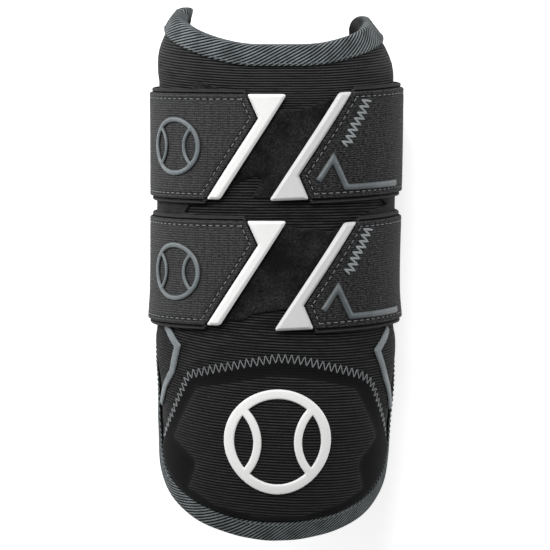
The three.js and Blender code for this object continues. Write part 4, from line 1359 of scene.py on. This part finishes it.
def panel_top(flat, distance):
    rolled = soft_edge(distance, 0.9, PANEL_LIFT + 0.3, PANEL_LIFT + PANEL_THICK)
    return rolled - 0.38 * np.exp(-((distance - STITCH_IN) / 0.5) ** 2)


def band_top(flat, distance):
    """A rolled rim with a furrow beside it, where the panel's turned edge presses."""
    rim = 0.12 * np.exp(-((distance - 0.9) / 0.45) ** 2) - 0.35 * np.exp(-((distance - 2.0) / 0.4) ** 2)
    return soft_edge(distance, 0.8, BAND_LIFT + 0.5, BAND_LIFT + BAND_THICK) + rim


def trim_top(flat, distance):
    """A moulded end with a flat bevel round it."""
    return PANEL_LIFT + 0.5 + (TRIM_THICK - 0.5) * np.clip(distance / TRIM_BEVEL, 0, 1)


def tack_line(start, end, teeth=8, width=4.1):
    """A zigzag between two points, with its teeth square to the way it goes."""
    start, end = np.array(start), np.array(end)
    way = (end - start) / np.linalg.norm(end - start)
    side = np.array((-way[1], way[0])) * width / 2
    steps = np.arange(teeth * 2 + 1)
    uneven = 1 + 0.14 * np.sin(steps * 2.3)
    corners = start + (end - start) * steps[:, None] / steps[-1] + side * ((-1.0) ** steps * uneven)[:, None]
    return np.vstack([a + (b - a) * np.linspace(0, 1, 6)[:-1, None] for a, b in zip(corners, corners[1:])])


def dress_strap(name, at, climb, shift):
    places = strap_places(at, climb, shift)
    band, _, distance = patch_piece(
        name + "_band_cloth", [anticlockwise(rounded(band_outline()))], places["band"], band_top, BAND_LIFT,
        band_elastic, "strap_elastic", [name + "_strap_band"], 2.2, (0.25, 0.6, 0.9, 1.3, 1.65, 2.0, 2.4),
        held="stretched")
    # These values paint a highlight on the rolled rim and shade in the furrow beside it.
    rim = np.exp(-((distance - 0.8) / 0.5) ** 2) - 2 * np.exp(-((distance - 2.0) / 0.5) ** 2)
    keep_values(band, "rim", np.tile(rim, 2))
    panels = {"left": (PANEL_OUTLINE, tab_weave, "tab_weave"),
              "right": (half_turned(PANEL_OUTLINE), tab_elastic, "tab_elastic")}
    for side, (corners, finish, slot) in panels.items():
        outline = anticlockwise(rounded(corners))
        tab, _, distance = patch_piece(
            f"{name}_{side}_tab", [outline], places[side], panel_top, PANEL_LIFT, finish, slot,
            [f"{name}_{side}_panel"], 1.7, (0.3, 0.9, 1.5, 1.9, STITCH_IN, 2.7, 3.1),
            held="laid")
        # These values paint the weave darker along the stitch line: painted shade in the groove.
        keep_values(tab, "stitch_groove_shade", np.tile(np.exp(-((distance - STITCH_IN) / 0.55) ** 2), 2))
        seam = ring_inside(divided(outline, 1.0), STITCH_IN)
        thread_piece(f"{name}_{side}_topstitch",
                     stitches(seam, 2.1, 0.8, places[side], PANEL_LIFT + PANEL_THICK - 0.2),
                     0.24, thread_grey, slot)
        trim = TRIM_OUTLINE if side == "left" else half_turned(TRIM_OUTLINE)
        # The right-hand ends take the darker copy of the white rubber: painted shade.
        patch_piece(f"{name}_{side}_tab_end", [anticlockwise(rounded(trim))], places[side],
                    trim_top, PANEL_LIFT, white_rubber if side == "left" else shaded_white_rubber, "white_rubber",
                    [f"{name}_{side}_trim"], 1.2, (0.12, 0.6, TRIM_BEVEL, TRIM_BEVEL + 0.2))
    mark, _, distance = patch_piece(
        name + "_roundel", ball_loops(STRAP_MARK_SIZE),
        lambda girth, rise, height: places["left"](girth + STRAP_MARK_AT, rise, height),
        ridge_top(MARK_LIFT, 1.0), MARK_LIFT, grey_rubber, "grey_rubber", [name + "_strap_emblem"],
        0.8, (0.2, 0.45, 0.8))
    paint_foot_shadow(mark, distance)
    line, _, distance = patch_piece(
        name + "_bent_line", [stripe_outline(BENT_LINE, BENT_WIDTH, 0.6)], places["right"],
        ridge_top(MARK_LIFT, 1.3), MARK_LIFT, line_rubber, "grey_rubber", [name + "_accent_line"],
        1.0, (0.2, 0.45, 0.85, 1.2))
    paint_foot_shadow(line, distance)
    tack = tack_line(*TACKS[name])
    lift = PANEL_LIFT + PANEL_THICK + 0.25
    thread_piece(name + "_zigzag_tack", [places["right"](tack[:, 0], tack[:, 1], lift)], 0.55,
                 thread_light, "tab_elastic", 8)


dress_strap("upper", UPPER_AT, 0.2, -0.9)
dress_strap("lower", LOWER_AT, -1.4, 1.2)

# %% [markdown]
# ## The cap's zigzag seam
# A thin light thread runs zigzag over the cap's upper edge, from the shell's cloth to the cap. Its teeth
# are 2.8 mm apart and 4.2 mm tall. Each tooth is held down at its ends, where the needle went in. At the
# right corner the needle went over the seam twice.

# %% The zigzag seam
TOOTH, TOOTH_HEIGHT, SEAM_STEP = 2.8, 4.2, 0.25
DOUBLED_FROM, DOUBLED_TO, DOUBLED_LIFT = 31, 44, 0.2
seam_line = evenly(rounded(CAP_SEAM, 3.0)[1:-1], SEAM_STEP, closed=False)


def zigzag_seam():
    run = np.gradient(seam_line, axis=0)
    run /= np.linalg.norm(run, axis=1, keepdims=True)
    out = np.stack([-run[:, 1], run[:, 0]], 1)
    way = np.arange(len(seam_line)) * SEAM_STEP / TOOTH
    saw = 1 - np.abs((way % 1) * 2 - 1) * 2
    flat = seam_line + out * (saw * TOOTH_HEIGHT / 2)[:, None]
    height = CLEARANCE + 0.35 + (1 - ease(-1, 1, saw)) * (CAP_BASE - 0.2)
    dip = 0.35 * (np.abs(saw) > 0.93)
    return on_skin(flat[:, 0], flat[:, 1], height - dip)


seam_thread = zigzag_seam()
doubled = (seam_line[:, 0] > DOUBLED_FROM) & (seam_line[:, 0] < DOUBLED_TO)
half_tooth = int(TOOTH / (2 * SEAM_STEP))
second_pass = np.roll(seam_thread, half_tooth, axis=0)[doubled] + (0, 0, DOUBLED_LIFT)
thread_piece("cap_zigzag_seam", [seam_thread, second_pass], 0.21, thread_grey, "cap_fabric")

# %% [markdown]
# ## Stitches that hold the tape
# A line of small stitches holds the tape down, close to its inner edge. It follows the edge all round.

# %% The tape's stitches
tape_seam = edge_line + inward * (TAPE_LEG - 1.0)
thread_piece("tape_stitches", stitches(tape_seam, 1.5, 0.9, on_skin, tape_outside + 0.08),
             0.19, thread_dark, "edge_tape")

# %% [markdown]
# ## Table and light
# The guard lies on a plain white table, which glows a little so that it stays white. The studio light is
# soft: a lamp above the upper-arm end, a larger one from each side with the left one stronger, and a bright
# room. The table is not part of the guard.

# %% The table
table = Recipe("table", 0.9, specular=0.1)
table.colour((0.93, 0.93, 0.93, 1))
table.rough(table.remap(table.noise(table.place(), 0.01, 2.0), 0.3, 0.7, 0.88, 0.95))
table.put(table.shader.inputs["Emission Color"], (1, 1, 1, 1))
table.shader.inputs["Emission Strength"].default_value = 0.6
floor_mesh = bpy.data.meshes.new("table_top")
TABLE_HALF = 3.0
table_corners = [(TABLE_HALF * x, TABLE_HALF * y, 0) for x, y in ((-1, -1), (1, -1), (1, 1), (-1, 1))]
floor_mesh.from_pydata(table_corners, [], [(0, 1, 2, 3)])
floor_mesh.materials.append(table.material)
floor = bpy.data.objects.new("table_top", floor_mesh)
floor.location.z = -0.0002
bpy.context.scene.collection.objects.link(floor)

# %% The lights


def soft_light(name, place, size, power):
    data = bpy.data.lights.new(name, "AREA")
    data.shape = "RECTANGLE"
    data.size, data.size_y = size
    data.energy = power
    lamp = bpy.data.objects.new(name, data)
    lamp.location = place
    lamp.rotation_mode = "QUATERNION"
    lamp.rotation_quaternion = (Vector((0, 0, 0.04)) - lamp.location).to_track_quat("-Z", "Y")
    bpy.context.scene.collection.objects.link(lamp)


soft_light("over", (-0.25, 0.75, 1.2), (0.6, 0.4), 11.5)
soft_light("left", (-1.2, 0.8, 0.6), (0.4, 1.0), 13.5)
soft_light("right", (1.2, 0.3, 0.55), (0.4, 1.2), 5)
world = bpy.data.worlds.new("room")
world.use_nodes = True
world.node_tree.nodes["Background"].inputs["Color"].default_value = (1, 1, 1, 1)
world.node_tree.nodes["Background"].inputs["Strength"].default_value = 0.25
bpy.context.scene.world = world
bpy.context.scene.view_settings.view_transform = "Standard"
